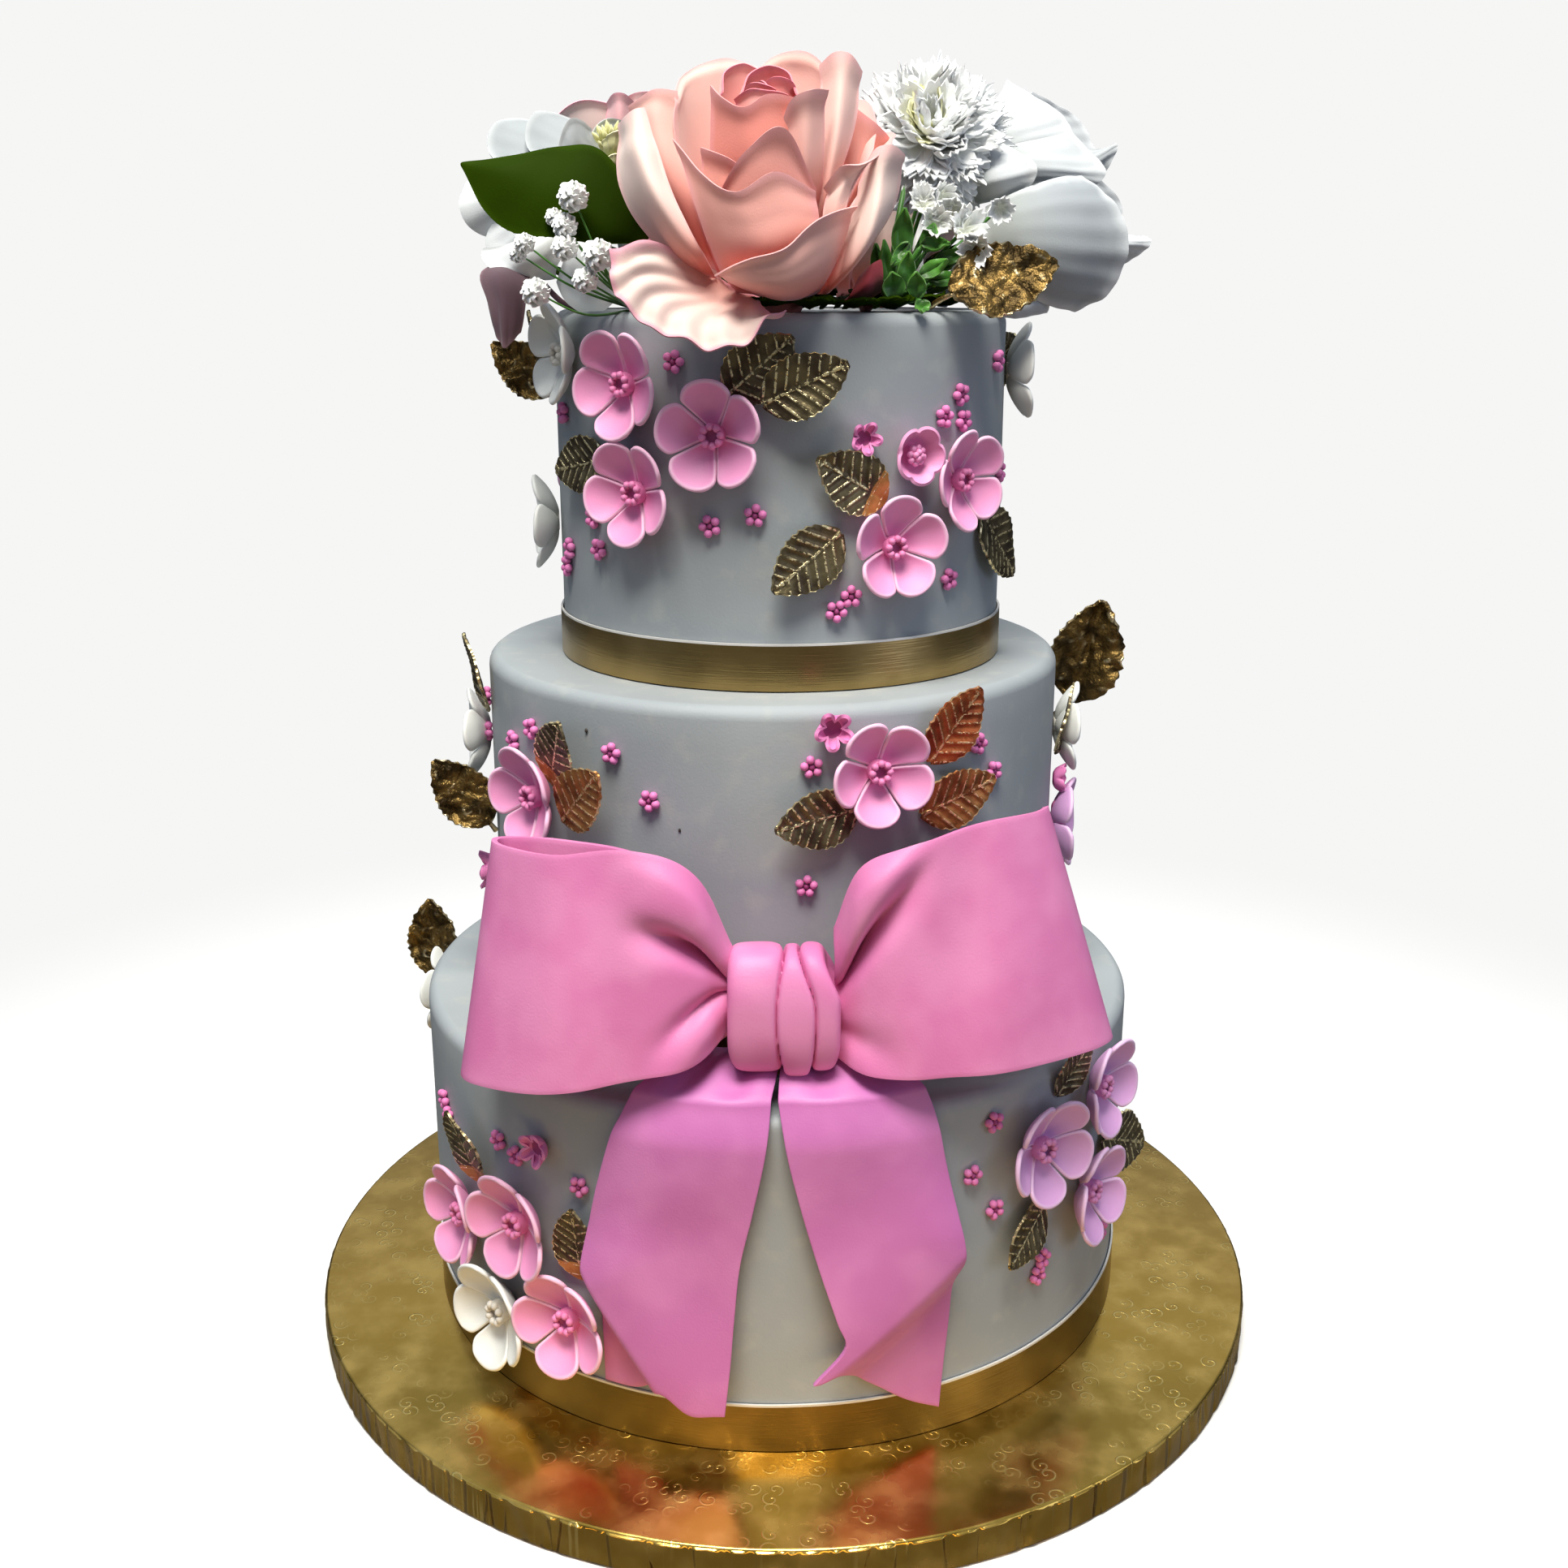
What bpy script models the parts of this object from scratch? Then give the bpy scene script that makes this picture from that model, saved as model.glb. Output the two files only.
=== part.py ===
"""Three-tier birthday cake on a round board covered with gold foil.

Three fondant tiers of 6, 8 and 10 inch cake stand on a 14 inch board. Each has a gold
ribbon round its foot. A pink sugar bow is fixed to the front, sugar blossoms and gilded
leaves are scattered over the sides, and a posy of cloth flowers lies on the top.

Units are metres and degrees. +Z is up and the front of the cake looks along -Y. The
origin is the centre of the board's underside. An angle on a tier is counted from the
front, positive towards +X. A height on a tier is counted from the board's top.
"""
import math

import bmesh
import bpy
from mathutils import Matrix, Vector

# ---------------------------------------------------------------- driving dimensions

GAP = 0.0003                    # air between two pieces that touch
SIDES = 40                      # flats round the board, the tiers and the ribbons

BOARD_RADIUS = 0.1785
BOARD_THICKNESS = 0.0139
BOARD_ROUNDING = 0.0012

TIER_RADIUS = {"bottom": 0.1300, "middle": 0.1012, "top": 0.0765}
TIER_HEIGHT = {"bottom": 0.1195, "middle": 0.1223, "top": 0.1156}
TIER_SHIFT = {"bottom": (-0.0027, -0.0026), "middle": (-0.0041, 0.0), "top": (-0.0013, -0.0033)}
TIER_ROUNDING = 0.0045          # fondant's soft top edge

RIBBON_WIDTH = {"bottom": 0.0178, "middle": 0.0155, "top": 0.0155}
RIBBON_THICKNESS = 0.0007

TIER_FOOT = {"bottom": BOARD_THICKNESS}
TIER_FOOT["middle"] = TIER_FOOT["bottom"] + TIER_HEIGHT["bottom"]
TIER_FOOT["top"] = TIER_FOOT["middle"] + TIER_HEIGHT["middle"]
CAKE_TOP = TIER_FOOT["top"] + TIER_HEIGHT["top"]

SUGAR_THICKNESS = 0.0012        # rolled sugar paste of petals
STRAP_THICKNESS = 0.0017        # rolled sugar paste of the bow
FOIL_LEAF_THICKNESS = 0.0008

# ---------------------------------------------------------------- colours and finishes

FINISHES = {                    # colour, roughness, metallic
    "fondant_grey": ((0.36, 0.40, 0.40), 0.55, 0.0),
    "board_foil": ((0.46, 0.33, 0.08), 0.30, 1.0),
    "ribbon_gold": ((0.42, 0.27, 0.07), 0.35, 1.0),
    "bow_pink": ((0.85, 0.22, 0.46), 0.50, 0.0),
    "petal_pink": ((0.86, 0.36, 0.58), 0.60, 0.0),
    "petal_lilac": ((0.70, 0.36, 0.62), 0.60, 0.0),
    "petal_white": ((0.78, 0.80, 0.76), 0.60, 0.0),
    "gilded_leaf": ((0.30, 0.17, 0.04), 0.35, 1.0),
    "cloth_salmon": ((0.85, 0.32, 0.24), 0.80, 0.0),
    "cloth_white": ((0.78, 0.82, 0.84), 0.80, 0.0),
    "cloth_mauve": ((0.24, 0.10, 0.12), 0.80, 0.0),
    "cloth_green": ((0.03, 0.12, 0.01), 0.55, 0.0),
}


def make_finish(name):
    """A Principled material with one of the finishes above."""
    colour, roughness, metallic = FINISHES[name]
    material = bpy.data.materials.new(name)
    material.use_nodes = True
    shader = material.node_tree.nodes["Principled BSDF"]
    shader.inputs["Base Color"].default_value = (*colour, 1.0)
    shader.inputs["Roughness"].default_value = roughness
    shader.inputs["Metallic"].default_value = metallic
    return material


def finish(name):
    return bpy.data.materials.get(name) or make_finish(name)


# ---------------------------------------------------------------- common helpers


def place(name, mesh, finish_name, matrix=None, parent=None):
    """One named object of a mesh, with its finish and its place."""
    if not mesh.materials:
        mesh.materials.append(finish(finish_name))
    item = bpy.data.objects.new(name, mesh)
    bpy.context.scene.collection.objects.link(item)
    item.parent = parent
    if matrix is not None:
        item.location = matrix.to_translation()
        item.rotation_euler = matrix.to_euler()
    return item


def mesh_from(bm, name, smooth_angle=50):
    """A mesh of a finished bmesh, shaded smooth between its sharp edges."""
    mesh = bpy.data.meshes.new(name)
    bm.to_mesh(mesh)
    bm.free()
    mesh.shade_smooth()
    mesh.set_sharp_from_angle(angle=math.radians(smooth_angle))
    return mesh


def thicken(item, thickness, offset=0.0):
    """Give an open sheet its thickness, centred on the sheet unless offset says otherwise."""
    wall = item.modifiers.new("thickness", "SOLIDIFY")
    wall.thickness = thickness
    wall.offset = offset
    return item


def sheet_mesh(name, rows):
    """An open sheet through rows of points, every row equally long."""
    bm = bmesh.new()
    grid = [[bm.verts.new(point) for point in row] for row in rows]
    for low, high in zip(grid, grid[1:]):
        for i in range(len(low) - 1):
            bm.faces.new((low[i], low[i + 1], high[i + 1], high[i]))
    return mesh_from(bm, name)


def closed_rings(bm, rings):
    """Close a body of rings of equally many points, with an end cap on the first and last."""
    loops = [[bm.verts.new(point) for point in ring] for ring in rings]
    for low, high in zip(loops, loops[1:]):
        for i in range(len(low)):
            j = (i + 1) % len(low)
            bm.faces.new((low[i], low[j], high[j], high[i]))
    bm.faces.new(list(reversed(loops[0])))
    bm.faces.new(loops[-1])
    bmesh.ops.recalc_face_normals(bm, faces=bm.faces)


def smooth_path(keys, count):
    """Points on a smooth curve through the key points, evenly in the keys' own numbering."""
    keys = [Vector(key) for key in keys]
    ends = [keys[0] * 2 - keys[1]] + keys + [keys[-1] * 2 - keys[-2]]
    points = []
    for step in range(count):
        place_along = step * (len(keys) - 1) / (count - 1)
        i = min(int(place_along), len(keys) - 2)
        t = place_along - i
        a, b, c, d = ends[i:i + 4]
        points.append(0.5 * (2 * b + (c - a) * t + (2 * a - 5 * b + 4 * c - d) * t ** 2
                             + (3 * b - a - 3 * c + d) * t ** 3))
    return points


def turn(radius, angle, height):
    """A point at a radius and an angle round +Z."""
    a = math.radians(angle)
    return Vector((radius * math.cos(a), radius * math.sin(a), height))


# ---------------------------------------------------------------- board, tiers, ribbons


def drum_mesh(name, radius, height, rounding, both_edges):
    """A round block on Z = 0 with its top edge, or both edges, rounded."""
    bm = bmesh.new()
    bmesh.ops.create_cone(bm, cap_ends=True, segments=SIDES, radius1=radius, radius2=radius,
                          depth=height)
    bmesh.ops.translate(bm, verts=bm.verts, vec=(0, 0, height / 2))
    middle = height / 2
    rims = [e for e in bm.edges if e.verts[0].co.z > middle and e.verts[1].co.z > middle]
    if both_edges:
        rims += [e for e in bm.edges if e.verts[0].co.z < middle and e.verts[1].co.z < middle]
    bmesh.ops.bevel(bm, geom=rims, offset=rounding, segments=2, profile=0.5, affect="EDGES")
    return mesh_from(bm, name)


def make_board():
    mesh = drum_mesh("board", BOARD_RADIUS, BOARD_THICKNESS, BOARD_ROUNDING, both_edges=True)
    place("board", mesh, "board_foil")


def make_tier_axis(tier):
    """An empty on a tier's axis, at its foot, which carries all that is on the tier."""
    axis = bpy.data.objects.new(f"axis_{tier}", None)
    bpy.context.scene.collection.objects.link(axis)
    axis.location = (*TIER_SHIFT[tier], TIER_FOOT[tier])
    return axis


def make_tier(tier, axis):
    height = TIER_HEIGHT[tier] - GAP
    mesh = drum_mesh(f"tier_{tier}", TIER_RADIUS[tier], height, TIER_ROUNDING, both_edges=False)
    place(f"tier_{tier}", mesh, "fondant_grey", Matrix.Translation((0, 0, GAP)), axis)


def make_ribbon(tier, axis):
    """A flat ribbon round a tier's foot: an open tube whose wall stands outwards."""
    radius = TIER_RADIUS[tier] + GAP
    width = RIBBON_WIDTH[tier] - GAP
    bm = bmesh.new()
    bmesh.ops.create_cone(bm, cap_ends=False, segments=SIDES, radius1=radius, radius2=radius,
                          depth=width)
    mesh = mesh_from(bm, f"ribbon_{tier}")
    lift = Matrix.Translation((0, 0, GAP + width / 2))
    thicken(place(f"ribbon_{tier}", mesh, "ribbon_gold", lift, axis), RIBBON_THICKNESS, offset=1)


# ---------------------------------------------------------------- the sugar bow

KNOT_HALF_WIDTH = 0.0172
KNOT_CENTRE = Vector((0.0, -0.1180, 0.1642))
KNOT_DEPTH = 0.0250
KNOT_HEIGHT = 0.0420
KNOT_SIDES = 12
KNOT_ROUNDNESS = 0.7            # 1 is an ellipse, and less is squarer
KNOT_BANDS = (                  # place across the half width, and how far the band bulges
    (-1.00, 0.84), (-0.86, 0.98), (-0.40, 1.00), (-0.06, 0.97), (0.00, 0.90), (0.12, 0.99),
    (0.40, 0.99), (0.48, 0.91), (0.60, 0.98), (0.88, 0.96), (1.00, 0.84))

# Across each loop from the knot to its outer fold and back: the top edge's x, y and z, then
# the bottom edge's.
LEFT_LOOP = (
    (-0.0184, -0.1175, 0.1862, -0.0184, -0.1175, 0.1562),
    (-0.0270, -0.1225, 0.2080, -0.0268, -0.1290, 0.1514),
    (-0.0440, -0.1245, 0.2173, -0.0442, -0.1350, 0.1478),
    (-0.0680, -0.1222, 0.2157, -0.0725, -0.1345, 0.1434),
    (-0.0860, -0.1113, 0.2149, -0.0972, -0.1224, 0.1406),
    (-0.0915, -0.1020, 0.2142, -0.1035, -0.1110, 0.1395),
    (-0.0860, -0.0975, 0.2135, -0.0975, -0.1030, 0.1380),
    (-0.0680, -0.1040, 0.2145, -0.0735, -0.1070, 0.1375),
    (-0.0440, -0.1085, 0.2110, -0.0450, -0.1095, 0.1425),
    (-0.0270, -0.1105, 0.1980, -0.0270, -0.1110, 0.1460),
    (-0.0184, -0.1120, 0.1810, -0.0184, -0.1120, 0.1540))
RIGHT_LOOP = (
    (0.0184, -0.1185, 0.1960, 0.0184, -0.1185, 0.1480),
    (0.0230, -0.1225, 0.2102, 0.0268, -0.1290, 0.1469),
    (0.0360, -0.1242, 0.2180, 0.0434, -0.1345, 0.1480),
    (0.0600, -0.1198, 0.2248, 0.0687, -0.1315, 0.1494),
    (0.0780, -0.1083, 0.2250, 0.0974, -0.1184, 0.1498),
    (0.0830, -0.0985, 0.2237, 0.1062, -0.1065, 0.1491),
    (0.0780, -0.0940, 0.2190, 0.0980, -0.0990, 0.1475),
    (0.0600, -0.1015, 0.2135, 0.0695, -0.1045, 0.1450),
    (0.0360, -0.1080, 0.2060, 0.0438, -0.1095, 0.1430),
    (0.0230, -0.1105, 0.1980, 0.0270, -0.1110, 0.1435),
    (0.0184, -0.1120, 0.1870, 0.0184, -0.1120, 0.1460))
LOOP_STEPS = 17
LOOP_HEIGHT_STEPS = 6
PLEAT_DEPTH = 0.0022            # folds pressed into a loop beside the knot
PLEAT_START = 0.008             # they are deepest this far from the knot
PLEAT_REACH = 0.040             # and fade out here

# Down each tail: angle of its left and right edge on the bottom tier, height above the
# board, and how far the left edge, the middle and the right edge stand off the tier.
LEFT_TAIL = (
    (-20.0, -0.9, 0.1250, 0.0020, 0.0025, 0.0020), (-21.5, -1.5, 0.1150, 0.0045, 0.0050, 0.0040),
    (-24.0, -3.0, 0.0930, 0.0050, 0.0040, 0.0030), (-26.5, -4.8, 0.0680, 0.0060, 0.0060, 0.0040),
    (-25.5, -6.0, 0.0450, 0.0020, 0.0075, 0.0045), (-25.2, -6.8, 0.0190, 0.0020, 0.0065, 0.0040))
RIGHT_TAIL = (
    (0.9, 19.5, 0.1250, 0.0020, 0.0025, 0.0020), (1.4, 21.5, 0.1150, 0.0040, 0.0050, 0.0045),
    (3.6, 24.5, 0.0930, 0.0030, 0.0040, 0.0050), (5.6, 26.2, 0.0680, 0.0040, 0.0060, 0.0060),
    (8.0, 25.2, 0.0450, 0.0050, 0.0060, 0.0030), (6.0, 24.0, 0.0180, 0.0060, 0.0030, 0.0022))
TAIL_ROOT_X = {"left": (-0.0150, -0.0045), "right": (0.0000, 0.0115)}
TAIL_ROOT_Y = -0.1050
TAIL_STEPS_DOWN = 9
TAIL_STEPS_ACROSS = 5


def make_knot():
    """Three bands wrapped side by side, as one body of rings set across X."""
    rings = []
    for place_across, bulge in KNOT_BANDS:
        ring = []
        for i in range(KNOT_SIDES):
            a = 2 * math.pi * i / KNOT_SIDES
            y = math.copysign(abs(math.cos(a)) ** KNOT_ROUNDNESS, math.cos(a)) * KNOT_DEPTH / 2
            z = math.copysign(abs(math.sin(a)) ** KNOT_ROUNDNESS, math.sin(a)) * KNOT_HEIGHT / 2
            ring.append(Vector((place_across * KNOT_HALF_WIDTH, y * bulge, z * bulge)))
        rings.append(ring)
    bm = bmesh.new()
    closed_rings(bm, rings)
    place("bow_knot", mesh_from(bm, "bow_knot"), "bow_pink", Matrix.Translation(KNOT_CENTRE))


def make_loop(name, stations):
    """A strap that leaves the knot, turns at its outer fold and comes back behind."""
    rows = []
    tops = smooth_path([station[:3] for station in stations], LOOP_STEPS)
    feet = smooth_path([station[3:] for station in stations], LOOP_STEPS)
    for top, foot in zip(tops, feet):
        row = []
        reach = max(abs(top.x) - KNOT_HALF_WIDTH, 0.0)
        fade = max(1 - reach / PLEAT_REACH, 0.0)
        depth = PLEAT_DEPTH * fade * math.sin(math.pi / 2 * min(reach / PLEAT_START, 1.0))
        for i in range(LOOP_HEIGHT_STEPS):
            v = i / (LOOP_HEIGHT_STEPS - 1)
            pleat = depth * math.sin(2 * math.pi * v) ** 2
            row.append(foot.lerp(top, v) + Vector((0, pleat, 0)))
        rows.append(row)
    thicken(place(name, sheet_mesh(name, rows), "bow_pink"), STRAP_THICKNESS)


def make_tail(side, stations):
    """A strap that lies on the bottom tier, bends over its edge and hangs down its front."""
    shift_x, shift_y = TIER_SHIFT["bottom"]
    radius = TIER_RADIUS["bottom"]
    edges = smooth_path([(s[0], s[1], s[2]) for s in stations], TAIL_STEPS_DOWN)
    lifts = smooth_path([(s[3], s[4], s[5]) for s in stations], TAIL_STEPS_DOWN)
    rows = []
    root_left, root_right = TAIL_ROOT_X[side]
    ledge = TIER_FOOT["middle"] + STRAP_THICKNESS
    root = [Vector((root_left + (root_right - root_left) * i / (TAIL_STEPS_ACROSS - 1), TAIL_ROOT_Y,
                    ledge)) for i in range(TAIL_STEPS_ACROSS)]
    rows.append(root)
    for edge, lift in zip(edges, lifts):
        row = []
        for i in range(TAIL_STEPS_ACROSS):
            u = i / (TAIL_STEPS_ACROSS - 1)
            angle = math.radians(edge.x + (edge.y - edge.x) * u)
            bulge = lift.x * (1 - u) * (1 - 2 * u) + 4 * lift.y * u * (1 - u) + lift.z * u * (2 * u - 1)
            out = radius + STRAP_THICKNESS + bulge
            row.append(Vector((shift_x + out * math.sin(angle), shift_y - out * math.cos(angle),
                               BOARD_THICKNESS + edge.z)))
        rows.append(row)
    name = f"bow_tail_{side}"
    thicken(place(name, sheet_mesh(name, rows), "bow_pink"), STRAP_THICKNESS)


# ---------------------------------------------------------------- sugar blossoms

PETALS = 5
BLOSSOM_RADIUS = 0.0168
BLOSSOM_CUP = 0.0085            # how far the petals' tips rise above the foot
SPOON_DEPTH = 0.0012            # hollow in the middle of a petal
NOTCH = 0.36                    # where two petals part, as a share of the radius
PETAL_EDGE = ((0.71, -33), (0.97, -16), (0.97, 16), (0.71, 33))
CENTRE_RADIUS = 0.0040
CENTRE_HEIGHT = 0.0055

CUP_BLOSSOM_RADIUS = 0.0092
CUP_BLOSSOM_HEIGHT = 0.0080

# name: tier, angle, height above the board, spin, size, finish
BLOSSOMS = {
    "blossom_top_1": ("top", -37.0, 0.3360, -32, 1.00, "petal_pink"),
    "blossom_top_2": ("top", -14.6, 0.3215, -8, 1.00, "petal_pink"),
    "blossom_top_3": ("top", -34.5, 0.3030, -30, 0.98, "petal_pink"),
    "blossom_top_4": ("top", 46.2, 0.3060, -20, 0.95, "petal_pink"),
    "blossom_top_5": ("top", 26.4, 0.2870, 3, 0.96, "petal_pink"),
    "blossom_top_6": ("top", -61.5, 0.3440, 10, 0.95, "petal_white"),
    "blossom_top_7": ("top", -83.0, 0.2870, 20, 0.95, "petal_white"),
    "blossom_top_8": ("top", 86.0, 0.3370, 0, 0.95, "petal_white"),
    "blossom_middle_1": ("middle", -48.5, 0.2040, -18, 1.04, "petal_pink"),
    "blossom_middle_2": ("middle", 18.6, 0.2213, 44, 1.00, "petal_pink"),
    "blossom_middle_3": ("middle", -83.0, 0.2110, 0, 0.95, "petal_white"),
    "blossom_middle_4": ("middle", 86.0, 0.2120, 0, 0.95, "petal_white"),
    "blossom_middle_5": ("middle", 80.5, 0.1790, 30, 0.95, "petal_lilac"),
    "blossom_bottom_1": ("bottom", -54.5, 0.0567, -18, 1.08, "petal_pink"),
    "blossom_bottom_2": ("bottom", -39.8, 0.0675, -18, 1.12, "petal_pink"),
    "blossom_bottom_3": ("bottom", -44.8, 0.0290, -33, 1.14, "petal_white"),
    "blossom_bottom_4": ("bottom", -30.8, 0.0388, -28, 1.10, "petal_pink"),
    "blossom_bottom_5": ("bottom", 40.8, 0.0942, 40, 1.10, "petal_lilac"),
    "blossom_bottom_6": ("bottom", 56.0, 0.1036, 34, 1.04, "petal_lilac"),
    "blossom_bottom_7": ("bottom", 54.0, 0.0660, 55, 1.06, "petal_lilac"),
}
CUP_BLOSSOM = ("top", 31.0, 0.3150, 10, "petal_pink")


def blossom_mesh(name):
    """Five spoon-shaped petals round a raised centre, as one closed body."""
    def rise(share):
        return SUGAR_THICKNESS + BLOSSOM_CUP * share ** 1.6

    bm = bmesh.new()
    drop = Vector((0, 0, SUGAR_THICKNESS))
    notches = []
    for i in range(PETALS):
        point = turn(NOTCH * BLOSSOM_RADIUS, 90 + (i - 0.5) * 360 / PETALS, rise(NOTCH))
        notches.append((bm.verts.new(point), bm.verts.new(point - drop)))
    for i in range(PETALS):
        axis = 90 + i * 360 / PETALS
        edge = [notches[i]]
        for share, off in PETAL_EDGE:
            point = turn(share * BLOSSOM_RADIUS, axis + off, rise(share))
            edge.append((bm.verts.new(point), bm.verts.new(point - drop)))
        edge.append(notches[(i + 1) % PETALS])
        hollow = turn(0.66 * BLOSSOM_RADIUS, axis, rise(0.66) - SPOON_DEPTH)
        top, under = bm.verts.new(hollow), bm.verts.new(hollow - drop)
        for a, b in zip(edge, edge[1:]):
            bm.faces.new((top, a[0], b[0]))
            bm.faces.new((under, b[1], a[1]))
            bm.faces.new((a[0], a[1], b[1], b[0]))
        bm.faces.new((top, edge[-1][0], edge[0][0]))
        bm.faces.new((under, edge[0][1], edge[-1][1]))
    crown = [bm.verts.new(turn(CENTRE_RADIUS, 54 + i * 360 / PETALS, rise(NOTCH) + CENTRE_HEIGHT))
             for i in range(PETALS)]
    for i in range(PETALS):
        j = (i + 1) % PETALS
        bm.faces.new((notches[i][0], notches[j][0], crown[j], crown[i]))
    bm.faces.new(crown)
    bm.faces.new([notch[1] for notch in reversed(notches)])
    bmesh.ops.recalc_face_normals(bm, faces=bm.faces)
    return mesh_from(bm, name)


def cup_blossom_mesh(name):
    """A half-open blossom: a small cup with a ball in it."""
    profile = ((0.30, 0.0), (0.80, 0.30), (1.00, 1.0), (0.86, 1.0), (0.62, 0.42), (0.36, 0.40),
               (0.22, 0.85))
    rings = []
    for share, height in profile:
        rings.append([turn(share * CUP_BLOSSOM_RADIUS, i * 36, height * CUP_BLOSSOM_HEIGHT)
                      for i in range(2 * PETALS)])
    bm = bmesh.new()
    closed_rings(bm, rings)
    return mesh_from(bm, name)


def on_tier(tier, angle, height, spin, lift=0.0, lean=0.0):
    """The place of a piece on a tier's side: local +Z points outwards and +Y up.

    Spin turns it clockwise as seen from outside, and lean tips its +Y end outwards.
    """
    a = math.radians(angle)
    out = Vector((math.sin(a), -math.cos(a), 0))
    right = Vector((math.cos(a), math.sin(a), 0))
    centre = out * (TIER_RADIUS[tier] + GAP + lift)
    centre.z = BOARD_THICKNESS + height - TIER_FOOT[tier]
    basis = Matrix((right, Vector((0, 0, 1)), out)).transposed().to_4x4()
    turned = Matrix.Rotation(math.radians(-spin), 4, "Z") @ Matrix.Rotation(math.radians(lean), 4, "X")
    return Matrix.Translation(centre) @ basis @ turned


def make_blossoms(axes):
    for name, (tier, angle, height, spin, size, colour) in BLOSSOMS.items():
        mesh = blossom_mesh(name)
        mesh.transform(Matrix.Scale(size, 4))
        place(name, mesh, colour, on_tier(tier, angle, height, spin), axes[tier])
    tier, angle, height, spin, colour = CUP_BLOSSOM
    mesh = cup_blossom_mesh("blossom_cup")
    place("blossom_cup", mesh, colour, on_tier(tier, angle, height, spin), axes[tier])


# ---------------------------------------------------------------- gilded leaves

LEAF_LENGTH = 0.0285
LEAF_HALF_WIDTH = 0.0092
LEAF_TEETH = 4                  # on each side
LEAF_TOOTH = 0.0007
LEAF_FOLD = 0.16                # how steeply the halves rise from the midrib

# name: tier, angle and height of the leaf's base, spin of its tip, lift, lean, size
LEAVES = {
    "leaf_top_1": ("top", -44.5, 0.3125, -102, 0.0004, 3, 0.95),
    "leaf_top_2": ("top", -12.0, 0.3330, 50, 0.0004, 3, 0.98),
    "leaf_top_3": ("top", -3.5, 0.3312, 65, 0.0054, 3, 1.00),
    "leaf_top_4": ("top", 25.0, 0.3010, -60, 0.0004, 3, 1.00),
    "leaf_top_5": ("top", 14.0, 0.2920, -128, 0.0004, 3, 1.00),
    "leaf_top_6": ("top", 58.0, 0.2940, 140, 0.0004, 6, 1.08),
    "leaf_middle_1": ("middle", -44.4, 0.2098, 30, 0.0004, 10, 1.00),
    "leaf_middle_2": ("middle", -39.6, 0.1995, 45, 0.0034, 6, 1.02),
    "leaf_middle_3": ("middle", 29.2, 0.2215, 35, 0.0004, 6, 1.00),
    "leaf_middle_4": ("middle", 27.6, 0.2045, 70, 0.0004, 6, 1.00),
    "leaf_middle_5": ("middle", 15.3, 0.2090, -98, 0.0004, 6, 1.00),
    "leaf_bottom_1": ("bottom", -50.0, 0.0720, -13, 0.0004, 12, 1.02),
    "leaf_bottom_2": ("bottom", 43.2, 0.0712, -122, 0.0004, 8, 0.95),
}

# Leaves that stand out from the cake: foot of the stalk, base of the blade, direction of
# the tip, side they face, size
FREE_LEAVES = {
    "leaf_middle_6": ((-0.1022, -0.0290, 0.1930), (-0.1040, -0.0300, 0.1960),
                      (-0.62, 0.00, 0.78), (0.10, -1.0, 0.2), 1.05),
    "leaf_middle_7": ((0.0980, 0.0130, 0.2230), (0.1075, 0.0125, 0.2305),
                      (0.24, 0.02, 0.97), (-0.15, -1.0, 0.2), 1.40),
    "leaf_topper": ((0.0450, -0.0560, 0.3724), (0.0500, -0.0640, 0.3765),
                    (0.95, 0.25, 0.22), (0.15, -0.9, 0.4), 1.25),
}


def leaf_half_width(t):
    """Half width of a pointed oval leaf, t from its base at 0 to its tip at 1."""
    return LEAF_HALF_WIDTH * math.sin(math.pi * t ** 0.8) ** 0.75


def leaf_mesh(name):
    """A folded oval leaf along +Y with toothed edges, still without its thickness."""
    bm = bmesh.new()
    rib = [bm.verts.new((0, LEAF_LENGTH * i / LEAF_TEETH, 0)) for i in range(LEAF_TEETH + 1)]
    for side in (-1, 1):
        edge = []
        for i in range(LEAF_TEETH):
            for inside, tooth in ((0.35, -LEAF_TOOTH), (0.75, LEAF_TOOTH)):
                t = (i + inside) / LEAF_TEETH
                across = leaf_half_width(t) + tooth
                point = (side * across, LEAF_LENGTH * t, LEAF_FOLD * across)
                edge.append(bm.verts.new(point))
        for i in range(LEAF_TEETH):
            start = [rib[i]] if i == 0 else [rib[i], edge[2 * i - 1]]
            patch = start + [edge[2 * i], edge[2 * i + 1], rib[i + 1]]
            bm.faces.new(patch if side > 0 else list(reversed(patch)))
    return mesh_from(bm, name)


def make_leaves(axes):
    for name, (tier, angle, height, spin, lift, lean, size) in LEAVES.items():
        mesh = leaf_mesh(name)
        mesh.transform(Matrix.Scale(size, 4))
        spot = on_tier(tier, angle, height, spin, lift, lean)
        thicken(place(name, mesh, "gilded_leaf", spot, axes[tier]), FOIL_LEAF_THICKNESS, offset=1)
    for name, (foot, base, along, facing, size) in FREE_LEAVES.items():
        mesh = leaf_mesh(name)
        mesh.transform(Matrix.Scale(size, 4))
        along = Vector(along).normalized()
        across = along.cross(Vector(facing)).normalized()
        basis = Matrix((across, along, across.cross(along))).transposed().to_4x4()
        spot = Matrix.Translation(base) @ basis
        mesh.vertices[0].co = spot.inverted() @ Vector(foot)
        thicken(place(name, mesh, "gilded_leaf", spot), FOIL_LEAF_THICKNESS)


# ---------------------------------------------------------------- the posy on the top

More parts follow.
